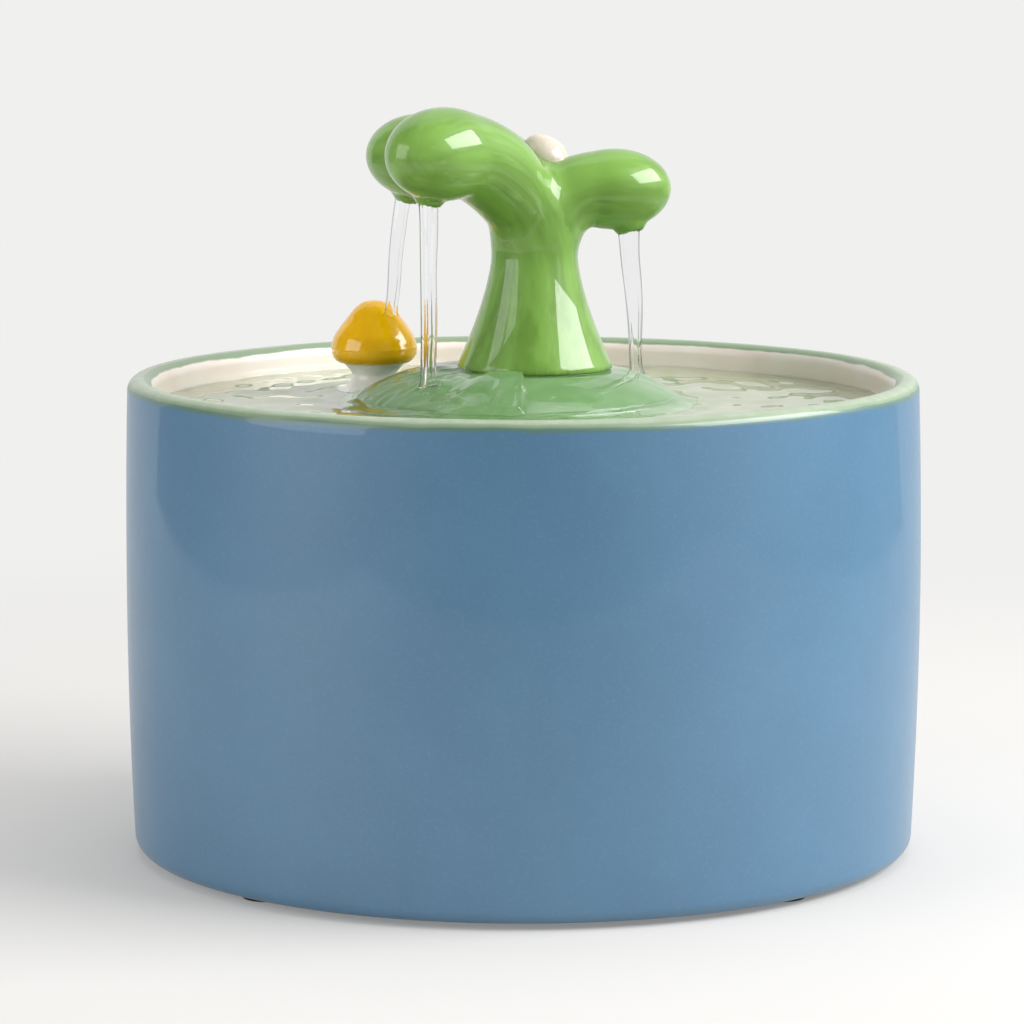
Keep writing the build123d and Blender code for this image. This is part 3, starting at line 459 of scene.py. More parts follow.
def cap_surface():
    """The mushroom's cap: a lathe turn of a pointed crown over a rolled brim, which wavers by 0.2 mm."""
    crown = through([[11.3, 18.9], [10.45, 21.6], [8.6, 24.4], [6.75, 26.75], [4.9, 29.0], [2.6, 30.6],
                     [0.2, 31.0]], 60)
    brim = through([[7.4, 14.95], [8.8, 14.85], [10.1, 15.6], [11.05, 17.0], [11.3, 18.9]], 30)
    section = np.concatenate([[[0.3, 18.8], [3.0, 18.8], [3.15, 18.7], [3.15, 15.2], [3.3, 15.0]],
                              brim[:-1], crown]) + [0, TRAY_TOP]
    rings = lathe(section, 128, MUSHROOM_AT)
    rings[..., :2] += (0.2 * waves(rings, 43, 13.0) - 0.05)[..., None] * (rings[..., :2] - MUSHROOM_AT) / 11.0
    return closed_rings(rings)


def water_depth(x, y):
    """Thickness of the water running over the dome.

    A thin sheet with soft folds, narrow folds that run out to the left, and a thick tongue whose right edge swings
    round to 266 degrees as it leaves the foot, with two ridges in it. Water piles up where a stream lands.
    """
    away, turn = np.hypot(x - SPROUT_X, y), np.arctan2(y, x - SPROUT_X) % TAU
    degrees = np.degrees(turn)
    spot = np.stack([3.0 * np.cos(turn) + 0.04 * away, 3.0 * np.sin(turn), 0.04 * away], -1)
    sheet = 0.42 + 0.10 * waves(spot, 21, 1.6, 9) + 0.05 * waves(np.stack([x, y], -1), 23, 9.0)
    narrow = 0.30 * waves(np.stack([30 * turn, 0.3 * away], -1), 25, 2.6) * np.exp(-((degrees - 198) / 24)**2)
    edge = 266.5 - 7.0 * np.exp(-(away - FILM_TOP_R) / 4.0)
    tongue = smoothstep((edge - degrees) / 3.0) * smoothstep((degrees - 232) / 14) * smoothstep((away - 18.5) / 3.0)
    ridges = np.exp(-((degrees - 264.0) / 1.2)**2) + 0.8 * np.exp(-((degrees - 254.5) / 1.6)**2)
    dish = np.exp(-((x - 14.5) / 11.0)**4 - ((y + 32.0) / 4.5)**4)
    landed = np.hypot(x + 23.3, y + 23.6)
    ripple = 0.25 * np.cos(landed * TAU / 4.0) * np.exp(-landed / 7.0) + 0.4 * np.exp(-landed**2 / 20.0)
    right = 0.45 * np.exp(-((x - 28.9)**2 + (y - 4.0)**2) / 22.0)
    return (sheet + narrow + 1.6 * tongue + 0.6 * ridges * smoothstep((away - 27) / 8) - 0.16 * dish
            + ripple + right)


def film_surface(columns):
    """A skin of water on the dome, from just under the sprout's foot down to the pool, closed on itself.

    Its outside is the dome moved up by the water's depth, which dies out at the pool's edge and rises a little
    at the foot, most on the left. Its inside lies a quarter of a millimetre under the glaze.
    """
    turn = np.linspace(0, TAU, columns, endpoint=False)
    share = np.linspace(1, 0, 90)[:, None]
    centre = SPROUT_X + (DOME_X - SPROUT_X) * share
    radius = FILM_TOP_R + (FILM_EDGE_R - FILM_TOP_R) * share
    x, y = centre + radius * np.cos(turn), radius * np.sin(turn)
    z = dome_height(x, y)
    slope_x = (dome_height(x + 0.1, y) - dome_height(x - 0.1, y)) / 0.2
    slope_y = (dome_height(x, y + 0.1) - dome_height(x, y - 0.1)) / 0.2
    normal = np.stack([-slope_x, -slope_y, np.ones_like(x)], -1)
    normal /= np.linalg.norm(normal, axis=-1, keepdims=True)
    glaze = np.stack([x, y, z], -1)
    depth = water_depth(x, y) * smoothstep((1.0 - share) * 16.0) * (0.35 + 0.65 * smoothstep((radius - 19.5) / 4.0))
    from_foot = radius - FILM_TOP_R
    climb = 0.3 * np.exp(-from_foot / 1.0) + 1.3 * np.exp(-((turn - 3.5) / 0.42)**2 - from_foot / 2.5)
    outer = glaze + normal * (0.1 + depth + climb)[..., None]
    inner = (glaze - 0.25 * normal)[::-1]
    rings = np.concatenate([outer, inner])
    return rings.reshape(-1, 3), grid_faces(len(rings), columns, rows_meet=True)


def pool_surface(columns, level, ripple):
    """A disc of water: flat below, and above it ripples that spread from the dome and crossing waves.

    The water climbs half a millimetre at the basin's wall, and up to a millimetre where it runs off the dome.
    """
    r_top = np.concatenate([np.linspace(93.35, 88.0, 14), np.linspace(87.4, 1.0, 130)])
    low = np.array([[0.5, POOL_BED_Z], [40.0, POOL_BED_Z], [92.0, POOL_BED_Z], [93.3, POOL_BED_Z + 0.55]])
    rings = lathe(np.concatenate([low, np.stack([r_top, np.full_like(r_top, level)], -1)]), columns)
    top = rings[len(low):]
    x, y = top[..., 0], top[..., 1]
    from_dome = np.clip(np.hypot(x - DOME_X, y) - 40.4, 0, None)
    spread = np.cos(from_dome * TAU / 9.5 + 2.0 * waves(top[..., :2], 31, 60.0)) * np.exp(-from_dome / 20.0)
    cross = 0.8 * waves(top[..., :2], 33, 26.0) + 0.5 * waves(top[..., :2], 35, 12.0)
    wall = np.exp(-(93.3 - np.hypot(x, y)) / 1.1)
    near = np.exp(-from_dome / 1.5) * (0.5 + 0.5 * smoothstep(x / 30.0))
    top[..., 2] += ripple * (0.8 * spread + cross) * (1 - wall) + 0.5 * wall + near
    return closed_rings(rings)


def stream_surface(top, bottom, widths, rim, twist, seed, facing):
    """A ribbon of falling water: a thin sheet between two round rims, carried along a line.

    The line's sideways way grows mostly with the square root of the fall. The sheet's width shrinks as the water
    speeds up, its edges waver, and it turns about its own line. Half its thickness at u across, from -1 to 1, is that
    of a rim's circle near the edge, and dies down to the sheet's between them. Also returns how far each point is out
    on its rim, from 0 to 1.
    """
    t = np.linspace(0, 1, 140)
    way = 0.7 * np.sqrt(t) + 0.3 * t
    line = np.stack([top[k] + (bottom[k] - top[k]) * way for k in (0, 1)] + [top[2] + (bottom[2] - top[2]) * t], -1)
    at = np.stack([t * (top[2] - bottom[2]), np.full_like(t, 7.0)], -1)
    line[:, 0] += 0.22 * waves(at, seed, 19.0) * smoothstep(4 * t)
    wide = widths[0] + (widths[1] - widths[0]) * t**0.6
    wide = wide / 2 * (1 + 0.04 * waves(at, seed + 1, 14.0) + 0.3 * np.exp(-t * 30) + 0.4 * np.exp((t - 1) * 45))
    rims = rim * (1 + 0.08 * waves(at, seed + 2, 12.0) + 0.4 * np.exp(-t * 22))[:, None]
    angle = math.radians(facing) + np.radians(twist) * smoothstep((t - 0.25) / 0.6)
    around = np.linspace(0, TAU, 56, endpoint=False)
    across = np.cos(around)
    inside = wide[:, None] * (1 - np.abs(across)) / rims - 1
    half = rims * np.where(inside < 0, np.sqrt(np.clip(1 - inside**2, 0, 1)), 0.3 + 0.7 * np.exp(-inside**2 / 0.8))
    a, b = wide[:, None] * across, -half * np.sign(np.sin(around) + 1e-9) * (np.abs(across) < 0.9999)
    cos, sin = np.cos(angle)[:, None], np.sin(angle)[:, None]
    rings = np.stack([line[:, :1] + a * cos - b * sin, line[:, 1:2] + a * sin + b * cos,
                      np.broadcast_to(line[:, 2:], a.shape)], -1)
    outermost = np.append(np.tile(smoothstep((np.abs(across) - 0.84) / 0.08), len(t)), [0, 0])
    return *closed_rings(rings), outermost


# ---------------------------------------------------------------- materials
def new_material(name):
    """An empty node material with its output and a principled shader joined to it."""
    material = bpy.data.materials.new(name)
    material.use_nodes = True
    tree = material.node_tree
    tree.nodes.clear()
    shader = add_node(tree, "ShaderNodeBsdfPrincipled")
    add_node(tree, "ShaderNodeOutputMaterial", {"Surface": shader.outputs[0]})
    return material, tree, shader


def pattern(tree, scale, detail=3.0, roughness=0.55):
    """A pattern fixed to the piece itself: fractal noise from 0 to 1 with features about 1 / scale metres across."""
    place = add_node(tree, "ShaderNodeTexCoord").outputs["Object"]
    return add_node(tree, "ShaderNodeTexNoise", {"Vector": place}, Scale=scale, Detail=detail,
                    Roughness=roughness).outputs[0]


def laid_over(tree, below, above, where, low, high, least=0.0, most=1.0):
    """One glaze colour laid over another: its share grows smoothly from least to most as where goes from low to high.

    Each colour is linear red, green, blue and alpha, or a socket.
    """
    share = add_node(tree, "ShaderNodeMapRange", {"Value": where}, interpolation_type="SMOOTHSTEP",
                     From_Min=low, From_Max=high, To_Min=least, To_Max=most)
    mix = add_node(tree, "ShaderNodeMix", {0: share.outputs[0]}, data_type="RGBA")
    for key, colour in ((6, below), (7, above)):
        if isinstance(colour, bpy.types.NodeSocket):
            tree.links.new(colour, mix.inputs[key])
        else:
            mix.inputs[key].default_value = colour
    return mix.outputs[2]


def glaze_skin(tree, shader, colour, height, depth, roughness, ior=1.5, coat=0.0, mirror=0.5):
    """Fired glaze: a smooth glassy surface over its colour, with faint orange peel or the pattern's own relief."""
    tree.links.new(colour, shader.inputs["Base Color"])
    shader.inputs["Roughness"].default_value = roughness
    shader.inputs["IOR"].default_value = ior
    shader.inputs["Coat Weight"].default_value = coat
    shader.inputs["Coat Roughness"].default_value = 0.03
    shader.inputs["Specular IOR Level"].default_value = mirror
    bump = add_node(tree, "ShaderNodeBump", {"Height": height}, Strength=1.0, Distance=depth)
    tree.links.new(bump.outputs[0], shader.inputs["Normal"])


def basin_glaze(colours):
    """Stoneware with poured blue glaze outside, cream inside, and a green line wiped round the lip.

    Blue: pigment grains 1 mm across over faint clouds 25 mm across where the glaze pooled. The lip's line is green on
    the shoulder and dark where it meets the blue 4 mm down the outside; its crown is painted paler, a painted
    highlight.
    """
    material, tree, shader = new_material("stoneware_blue_glaze")
    run = add_node(tree, "ShaderNodeAttribute", attribute_name="lip_run").outputs["Fac"]
    grain = pattern(tree, 1100.0, 2.0, 0.6)
    mottle = pattern(tree, 320.0, 2.0, 0.5)
    cloud = pattern(tree, 40.0, 2.0)
    blue = laid_over(tree, colours.blue_dark, colours.blue, cloud, 0.35, 0.65, 0.2, 0.8)
    blue = laid_over(tree, blue, colours.blue_dark, mottle, 0.4, 0.7, 0.0, 0.3)
    blue = laid_over(tree, blue, colours.blue_light, grain, 0.5, 0.75, 0.0, 0.3)
    wander = add_node(tree, "ShaderNodeMath", {0: pattern(tree, 60.0, 3.0)},
                      operation="MULTIPLY_ADD", _1=1.8, _2=-0.9).outputs[0]
    run = add_node(tree, "ShaderNodeMath", {0: run, 1: wander}, operation="ADD").outputs[0]
    cream = laid_over(tree, colours.cream, colours.cream_warm, cloud, 0.35, 0.7)
    # Painted highlight: the lip's crown is painted pale, mottled with a little of the green
    crown = laid_over(tree, colours.lip_crown_highlight, colours.lip_green, mottle, 0.3, 0.7, 0.0, 0.4)
    colour = laid_over(tree, cream, colours.lip_green, run, -3.9, -3.2)
    colour = laid_over(tree, colour, crown, run, -1.6, -0.8)
    colour = laid_over(tree, colour, colours.lip_green, run, 1.8, 2.7)
    colour = laid_over(tree, colour, colours.lip_dark, run, 2.8, 3.4)
    colour = laid_over(tree, colour, blue, run, 4.0, 4.4)
    peel = pattern(tree, 130.0, 2.0)
    glaze_skin(tree, shader, colour, peel, 0.00006, roughness=0.5, coat=0.45, mirror=1.0)
    return material


def dome_glaze(colours):
    """Green glaze thinned with white, paler than the sprout's, with soft clouds 10 mm across."""
    material, tree, shader = new_material("earthenware_pale_green_glaze")
    cloud = pattern(tree, 90.0, 3.0)
    grain = pattern(tree, 700.0, 2.0)
    colour = laid_over(tree, colours.dome, colours.dome_pale, cloud, 0.35, 0.65)
    colour = laid_over(tree, colour, colours.dome_pale, grain, 0.5, 0.8, 0.0, 0.2)
    glaze_skin(tree, shader, colour, cloud, 0.0001, roughness=0.12, coat=0.3)
    return material


def sprout_glaze(colours):
    """Leaf green glaze laid on with a brush: streaks 3 mm wide and some 40 mm long run along each arm.

    The dark and pale streaks are partly the brush's and partly painted reflection of the floor and room.
    """
    material, tree, shader = new_material("earthenware_leaf_green_glaze")
    flow = add_node(tree, "ShaderNodeAttribute", attribute_name="brush_flow").outputs["Vector"]
    long_way = add_node(tree, "ShaderNodeMapping", {"Vector": flow}, Scale=(0.12, 1.0, 1.0)).outputs[0]
    streak_and_reflection, fine = (add_node(tree, "ShaderNodeTexNoise", {"Vector": long_way}, Scale=scale, Detail=detail,
                             Roughness=0.5).outputs[0] for scale, detail in ((0.17, 3.0), (0.6, 2.0)))
    cloud = pattern(tree, 70.0, 2.0)
    # Painted reflection: the dark and pale streaks are partly brush streaks and partly painted reflection of the
    # surroundings
    colour = laid_over(tree, colours.leaf_dark_streak_and_reflection, colours.leaf, streak_and_reflection, 0.36, 0.64)
    colour = laid_over(tree, colour, colours.leaf_pale_streak_and_reflection, fine, 0.55, 0.8, 0.0, 0.35)
    colour = laid_over(tree, colour, colours.leaf, cloud, 0.4, 0.7, 0.0, 0.4)
    glaze_skin(tree, shader, colour, fine, 0.00006, roughness=0.42, coat=0.85, mirror=0.3)
    return material


def mottled_glaze(name, dark, light, warm):
    """A small glazed piece: thick glaze with clouds 5 mm across and a few warmer spots 1.5 mm across."""
    material, tree, shader = new_material(name)
    cloud = pattern(tree, 190.0, 3.0)
    spots = pattern(tree, 650.0, 2.0)
    colour = laid_over(tree, linear(dark), linear(light), cloud, 0.35, 0.65)
    colour = laid_over(tree, colour, linear(warm), spots, 0.58, 0.75, 0.0, 0.6)
    glaze_skin(tree, shader, colour, cloud, 0.00012, roughness=0.12, ior=1.52, coat=0.3)
    return material


def water(name):
    """Clear water: it bends light and lets it through, and casts no solid shadow.

    A stream's rims, which have the attribute rim, are painted greyer: painted shade for the dark room seen through
    them.
    """
    material, tree, shader = new_material(name)
    shader.inputs["Transmission Weight"].default_value = 1.0
    shader.inputs["Roughness"].default_value = 0.0
    shader.inputs["IOR"].default_value = 1.333
    swirl = pattern(tree, 180.0, 2.0)
    rim = add_node(tree, "ShaderNodeAttribute", attribute_name="rim").outputs["Fac"]
    body = add_node(tree, "ShaderNodeMix", {0: swirl}, data_type="RGBA", _6=linear("#fafafc"), _7=linear("#fdfdff"))
    # Painted shade: the rims get a grey colour in place of the dark room they would show
    rim_painted_shade = add_node(tree, "ShaderNodeMix", {0: rim, 6: body.outputs[2]}, data_type="RGBA", _7=linear("#9ba19f"))
    tree.links.new(rim_painted_shade.outputs[2], shader.inputs["Base Color"])
    clear = add_node(tree, "ShaderNodeBsdfTransparent", Color=(0.93, 0.96, 0.94, 1.0))
    path = add_node(tree, "ShaderNodeLightPath")
    mix = add_node(tree, "ShaderNodeMixShader", {0: path.outputs["Is Shadow Ray"], 1: shader.outputs[0],
                                                 2: clear.outputs[0]})
    output = next(n for n in tree.nodes if n.bl_idname == "ShaderNodeOutputMaterial")
    tree.links.new(mix.outputs[0], output.inputs["Surface"])
    return material


def plain_part(name, dark, light, grain, roughness, relief, metallic, transmission):
    """A moulded, pressed or ground part: a little colour variation and relief at the grain's size in mm."""
    material, tree, shader = new_material(name)
    fine = pattern(tree, 1 / (grain * MM), 3.0)
    cloud = pattern(tree, 60.0, 2.0)
    colour = laid_over(tree, linear(dark), linear(light), fine, 0.3, 0.7)
    colour = laid_over(tree, colour, linear(dark), cloud, 0.4, 0.7, 0.0, 0.3)
    glaze_skin(tree, shader, colour, fine, relief, roughness)
    shader.inputs["Metallic"].default_value = metallic
    shader.inputs["Transmission Weight"].default_value = transmission
    return material


# CAD nodes that keep their mesh: finish, dark and light colour, grain in mm, roughness, relief in m, metallic,
# transmission
INNER_PARTS = {
    "moulded_rubber": (("foot_pads",), "#232326", "#303033", 0.6, 0.75, 0.00004, 0, 0),
    "pale_silicone_rubber": (("cable_gland", "tray_bumpers", "sprout_seal", "volute_gasket"),
                             "#b9b9b3", "#cbcac4", 0.8, 0.55, 0.00003, 0, 0),
    # Painted shade and reflection: the tray is white in itself; its olive colour stands in for the shade and green
    # reflections in the pool
    "olive_tray_glaze": (("tray",), "#858d69", "#999f80", 14.0, 0.14, 0.00006, 0, 0),
    "white_moulded_abs": (("sprout_plug", "filter_housing", "filter_lid", "filter_cartridge"),
                          "#dcdedb", "#e6e8e5", 1.2, 0.32, 0.00002, 0, 0),
    "filter_cotton": (("cotton_pads",), "#d6d6d0", "#f0f0ec", 0.5, 0.95, 0.00025, 0, 0),
    "granular_carbon": (("carbon_bed",), "#0b0b0c", "#26272a", 1.4, 0.8, 0.0006, 0, 0),
    "black_moulded_abs": (("pump_housing", "volute_cover", "strainer", "suction_cups"),
                          "#17181a", "#202124", 0.7, 0.42, 0.00003, 0, 0),
    "clear_moulded_tube": (("riser_tube",), "#dfe6e8", "#edf2f3", 3.0, 0.18, 0.00002, 0, 0.6),
    "stainless_steel": (("pump_screws",), "#9c9c9c", "#c4c4c4", 0.3, 0.3, 0.00001, 1, 0),
    "open_cell_sponge": (("foam_block",), "#121214", "#2c2c30", 0.9, 0.95, 0.0005, 0, 0),
    "blue_moulded_abs": (("flow_dial",), "#325874", "#42708f", 0.7, 0.35, 0.00003, 0, 0),
    "white_impeller_abs": (("impeller",), "#d0d2d2", "#e2e4e4", 0.8, 0.3, 0.00002, 0, 0),
    "ground_ceramic_rod": (("impeller_shaft", "shaft_bushes"), "#dedede", "#f0f0ee", 0.4, 0.35, 0.00001, 0, 0),
    "sintered_ferrite": (("rotor_magnet",), "#2a2a2c", "#3c3c3f", 0.5, 0.5, 0.00004, 0, 0),
    "laminated_iron": (("stator_core",), "#5c5d5f", "#7d7e80", 0.4, 0.45, 0.00004, 1, 0),
    "enamelled_copper": (("stator_coils",), "#8d4722", "#c06f3c", 0.5, 0.35, 0.0002, 1, 0),
    "glass_fibre_board": (("circuit_board",), "#0e4523", "#17592f", 0.6, 0.5, 0.00003, 0, 0),
    "cast_epoxy": (("pump_potting",), "#101113", "#191a1c", 2.0, 0.25, 0.00003, 0, 0),
}


# ---------------------------------------------------------------- settings that a user may change
def length(name, about, default):
    """A length property in metres."""
    return FloatProperty(name=name, description=about, default=default, unit="LENGTH", precision=4)


def colour(name, about, default):
    """A colour property, given as an sRGB hex value."""
    return FloatVectorProperty(name=name, description=about, default=linear(default), size=4, subtype="COLOR",
                               min=0.0, max=1.0)


class Glazes(bpy.types.PropertyGroup):
    """Colours of the glazes."""

    blue: colour("Blue", "Glaze on the outside of the basin", "#437698")
    blue_dark: colour("Blue, thick", "Where the blue glaze pooled", "#3e7092")
    blue_light: colour("Blue, grains", "Pale grains in the blue glaze", "#5a86a6")
    lip_green: colour("Lip", "Green line round the basin's lip", "#7b9472")
    lip_dark: colour("Lip, thick", "Where the green line meets the blue", "#4d7469")
    # Painted highlight: the pale colour painted on the crown of the lip stands in for light on its top
    lip_crown_highlight: colour("Lip, thin", "On the crown of the lip", "#9fad94")
    cream: colour("Cream", "Glaze inside the basin", "#f0e9e2")
    cream_warm: colour("Cream, warm", "Warmer patches inside the basin", "#ecddd4")
    dome: colour("Dome", "Glaze of the dome", "#658657")
    dome_pale: colour("Dome, pale", "Where the dome's glaze is thin", "#6e8e63")
    leaf: colour("Leaf", "Glaze of the sprout", "#7ba848")
    # Dark and pale streaks: partly brush streaks, partly painted reflection of the floor and room
    leaf_dark_streak_and_reflection: colour("Leaf, thick", "Dark brush streaks on the sprout", "#679136")
    leaf_pale_streak_and_reflection: colour("Leaf, thin", "Pale brush streaks on the sprout", "#98ba76")


class FountainSizes(bpy.types.PropertyGroup):
    """Sizes and mesh density of the glazed pieces and the water."""

    segments: IntProperty(name="Segments", description="Faces round the basin, the dome and the pool", default=480,
                          min=64, max=600)
    clay_step: length("Clay step", "Size of the cells in which the sprout's tubes are joined", 0.0007)
    pool_level: length("Pool level", "Height of the still water above the table", 0.1148)
    ripple: length("Ripple", "Height of the pool's ripples", 0.00015)


class StudioLight(bpy.types.PropertyGroup):
    """Lamps and backdrop."""

    key: FloatProperty(name="Key", description="Power of the softbox on the right", default=22.0, unit="POWER")
    fill: FloatProperty(name="Fill", description="Power of the softbox on the left", default=6.6, unit="POWER")
    top: FloatProperty(name="Top", description="Power of the softbox overhead", default=9.0, unit="POWER")
    sky: FloatProperty(name="Surroundings", description="Light from the room", default=0.36, min=0.0)
    backdrop: colour("Backdrop", "Floor and backdrop", "#f0f0ef")


# ---------------------------------------------------------------- the studio's sizes, in metres and degrees
# The paper as gloss and water see it: half its width, where its front edge fades out and in, how far it runs
# sideways and how fast it widens per metre back
PAPER_HALF = 0.60
PAPER_FRONT = (-0.60, -0.52)
PAPER_ASIDE = 0.185
PAPER_WIDENS = 1.295
# Brightness of the room beside the paper, away from the key lamp and towards it
ROOM_GLOW = (0.13, 0.42)
# Behind the fountain the pale backdrop ends between these angles from its middle, which is turned to the left
BACKDROP_ENDS = (50, 54)
BACKDROP_TURN = 4
# Name, setting, place, aim, width and height of each softbox
SOFTBOXES = (
    ("key_softbox", "key", (1.033, -0.220, 0.80), (0, 0, 0.15), 1.15, 0.62),
    ("fill_softbox", "fill", (-1.09, -0.56, 0.46), (0, 0, 0.15), 0.92, 0.86),
    ("top_softbox", "top", (0.1, 0.2, 1.5), (0, 0, 0.1), 1.2, 1.2),
)
CAMERA_AT = (-0.00288, -1.130, 0.2441)
CAMERA_TILT = 82.015
LENS_MM, SENSOR_MM = 158.0, 36.0


# ---------------------------------------------------------------- operators
class FOUNTAIN_OT_basin(bpy.types.Operator):
    """Throw and glaze the basin"""

    bl_idname = "fountain.basin"
    bl_label = "Basin"

    def execute(self, context):
        vertices, faces, run = basin_surface(context.scene.fountain_sizes.segments)
        piece = put_mesh("basin_body", vertices, faces, "basin", basin_glaze(context.scene.fountain_glazes))
        set_attribute(piece.data, "lip_run", "FLOAT", run)
        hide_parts("basin")
        return {"FINISHED"}


class FOUNTAIN_OT_dome(bpy.types.Operator):
    """Build the dome that the water runs over"""

    bl_idname = "fountain.dome"
    bl_label = "Dome"

    def execute(self, context):
        vertices, faces = dome_surface(240)
        piece = put_mesh("dome_body", vertices, faces, "dome",
                         dome_glaze(context.scene.fountain_glazes), sharp=50)
        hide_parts("dome")
        return {"FINISHED"}


class FOUNTAIN_OT_sprout(bpy.types.Operator):
    """Model the sprout with its three arms, and the bud between them"""

    bl_idname = "fountain.sprout"
    bl_label = "Sprout and bud"

    def execute(self, context):
        vertices, faces = sprout_rough()
        glaze = sprout_glaze(context.scene.fountain_glazes)
        rough = put_mesh("sprout_rough", vertices, faces, "sprout", glaze)
        remesh = rough.modifiers.new("clay", "REMESH")
        remesh.mode = "VOXEL"
        remesh.voxel_size = context.scene.fountain_sizes.clay_step
        soften = rough.modifiers.new("thumb", "SMOOTH")
        soften.factor, soften.iterations = 0.5, 10
        joined = bpy.data.meshes.new_from_object(rough.evaluated_get(context.evaluated_depsgraph_get()))
        bpy.data.objects.remove(rough)
        points = np.zeros(len(joined.vertices) * 3, np.float32)
        joined.vertices.foreach_get("co", points)
        points = with_outlets(settled(points.reshape(-1, 3) / MM))
        joined.vertices.foreach_set("co", (points * MM).astype(np.float32).ravel())
        joined.name = "sprout_body"
        joined.shade_smooth()
        piece = bpy.data.objects.new("sprout_body", joined)
        context.scene.collection.objects.link(piece)
        set_attribute(joined, "brush_flow", "FLOAT_VECTOR", along_arms(points))
        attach(piece, "sprout")
        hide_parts("sprout")
        vertices, faces = egg_surface(*BUD)
        bud = put_mesh("bud_body", vertices, faces, "sprout",
                       mottled_glaze("porcelain_white_glaze", "#d2c8b8", "#ddd2c4", "#ccbaa8"))
        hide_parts("bud")
        return {"FINISHED"}


class FOUNTAIN_OT_mushroom(bpy.types.Operator):
    """Turn the mushroom's stem and cap"""

    bl_idname = "fountain.mushroom"
    bl_label = "Mushroom"

    def execute(self, context):
        vertices, faces = stem_surface()
        piece = put_mesh("mushroom_stem_body", vertices, faces, "mushroom",
                         mottled_glaze("earthenware_off_white_glaze", "#eeeee6", "#f4f4ee", "#e6e2d6"), sharp=60)
        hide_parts("mushroom_stem")
        vertices, faces = cap_surface()
        piece = put_mesh("mushroom_cap_body", vertices, faces, "mushroom",
                         mottled_glaze("earthenware_yellow_glaze", "#efb400", "#f4bb02", "#e8aa00"))
        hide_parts("mushroom_cap")
        return {"FINISHED"}


class FOUNTAIN_OT_water(bpy.types.Operator):
    """Let the water run: the pool, the skin on the dome and a stream from each arm"""

    bl_idname = "fountain.water"
    bl_label = "Water"

    def execute(self, context):
        sizes = context.scene.fountain_sizes
        vertices, faces = pool_surface(sizes.segments, sizes.pool_level / MM, sizes.ripple / MM)
        pool = put_mesh("pool_water", vertices, faces, "tray", water("pool_water"))
        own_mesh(pool)
        vertices, faces = film_surface(360)
        put_mesh("film_water", vertices, faces, "dome", water("film_water"))
        for name, top, bottom, widths, rim, twist, seed, facing in STREAMS:
            vertices, faces, outermost = stream_surface(top, bottom, widths, rim, twist, seed, facing)
            stream = put_mesh(name, vertices, faces, "sprout_seat", water(name))
            # How far out on its rim each point is; by it the water paints its rims grey, as painted shade
            set_attribute(stream.data, "rim", "FLOAT", outermost)
            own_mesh(stream)
        return {"FINISHED"}


class FOUNTAIN_OT_inner_parts(bpy.types.Operator):
    """Finish the tray, the filter and the pump, whose shapes stay as they are"""

    bl_idname = "fountain.inner_parts"
    bl_label = "Tray, filter and pump"

    def execute(self, context):
        for name, (nodes, *finish) in INNER_PARTS.items():
            dark, light, grain, roughness, relief, metallic, transmission = finish
            material = plain_part(name, dark, light, grain, roughness, relief, metallic, transmission)
            for node in nodes:
                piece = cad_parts[node]
                piece.data.materials.clear()
                piece.data.materials.append(material)
        return {"FINISHED"}


def softbox(name, power, place, aim, width, height):
    """A rectangular lamp that points at the aim."""
    lamp = bpy.data.lights.new(name, "AREA")
    lamp.shape, lamp.size, lamp.size_y, lamp.energy = "RECTANGLE", width, height, power
    holder = bpy.data.objects.new(name, lamp)
    bpy.context.scene.collection.objects.link(holder)
    holder.location = place
    direction = np.array(aim) - np.array(place)
    yaw = math.atan2(-direction[0], direction[1])
    pitch = math.atan2(direction[2], math.hypot(direction[0], direction[1]))
    holder.rotation_euler = (math.pi / 2 + pitch, 0, yaw)
    return holder


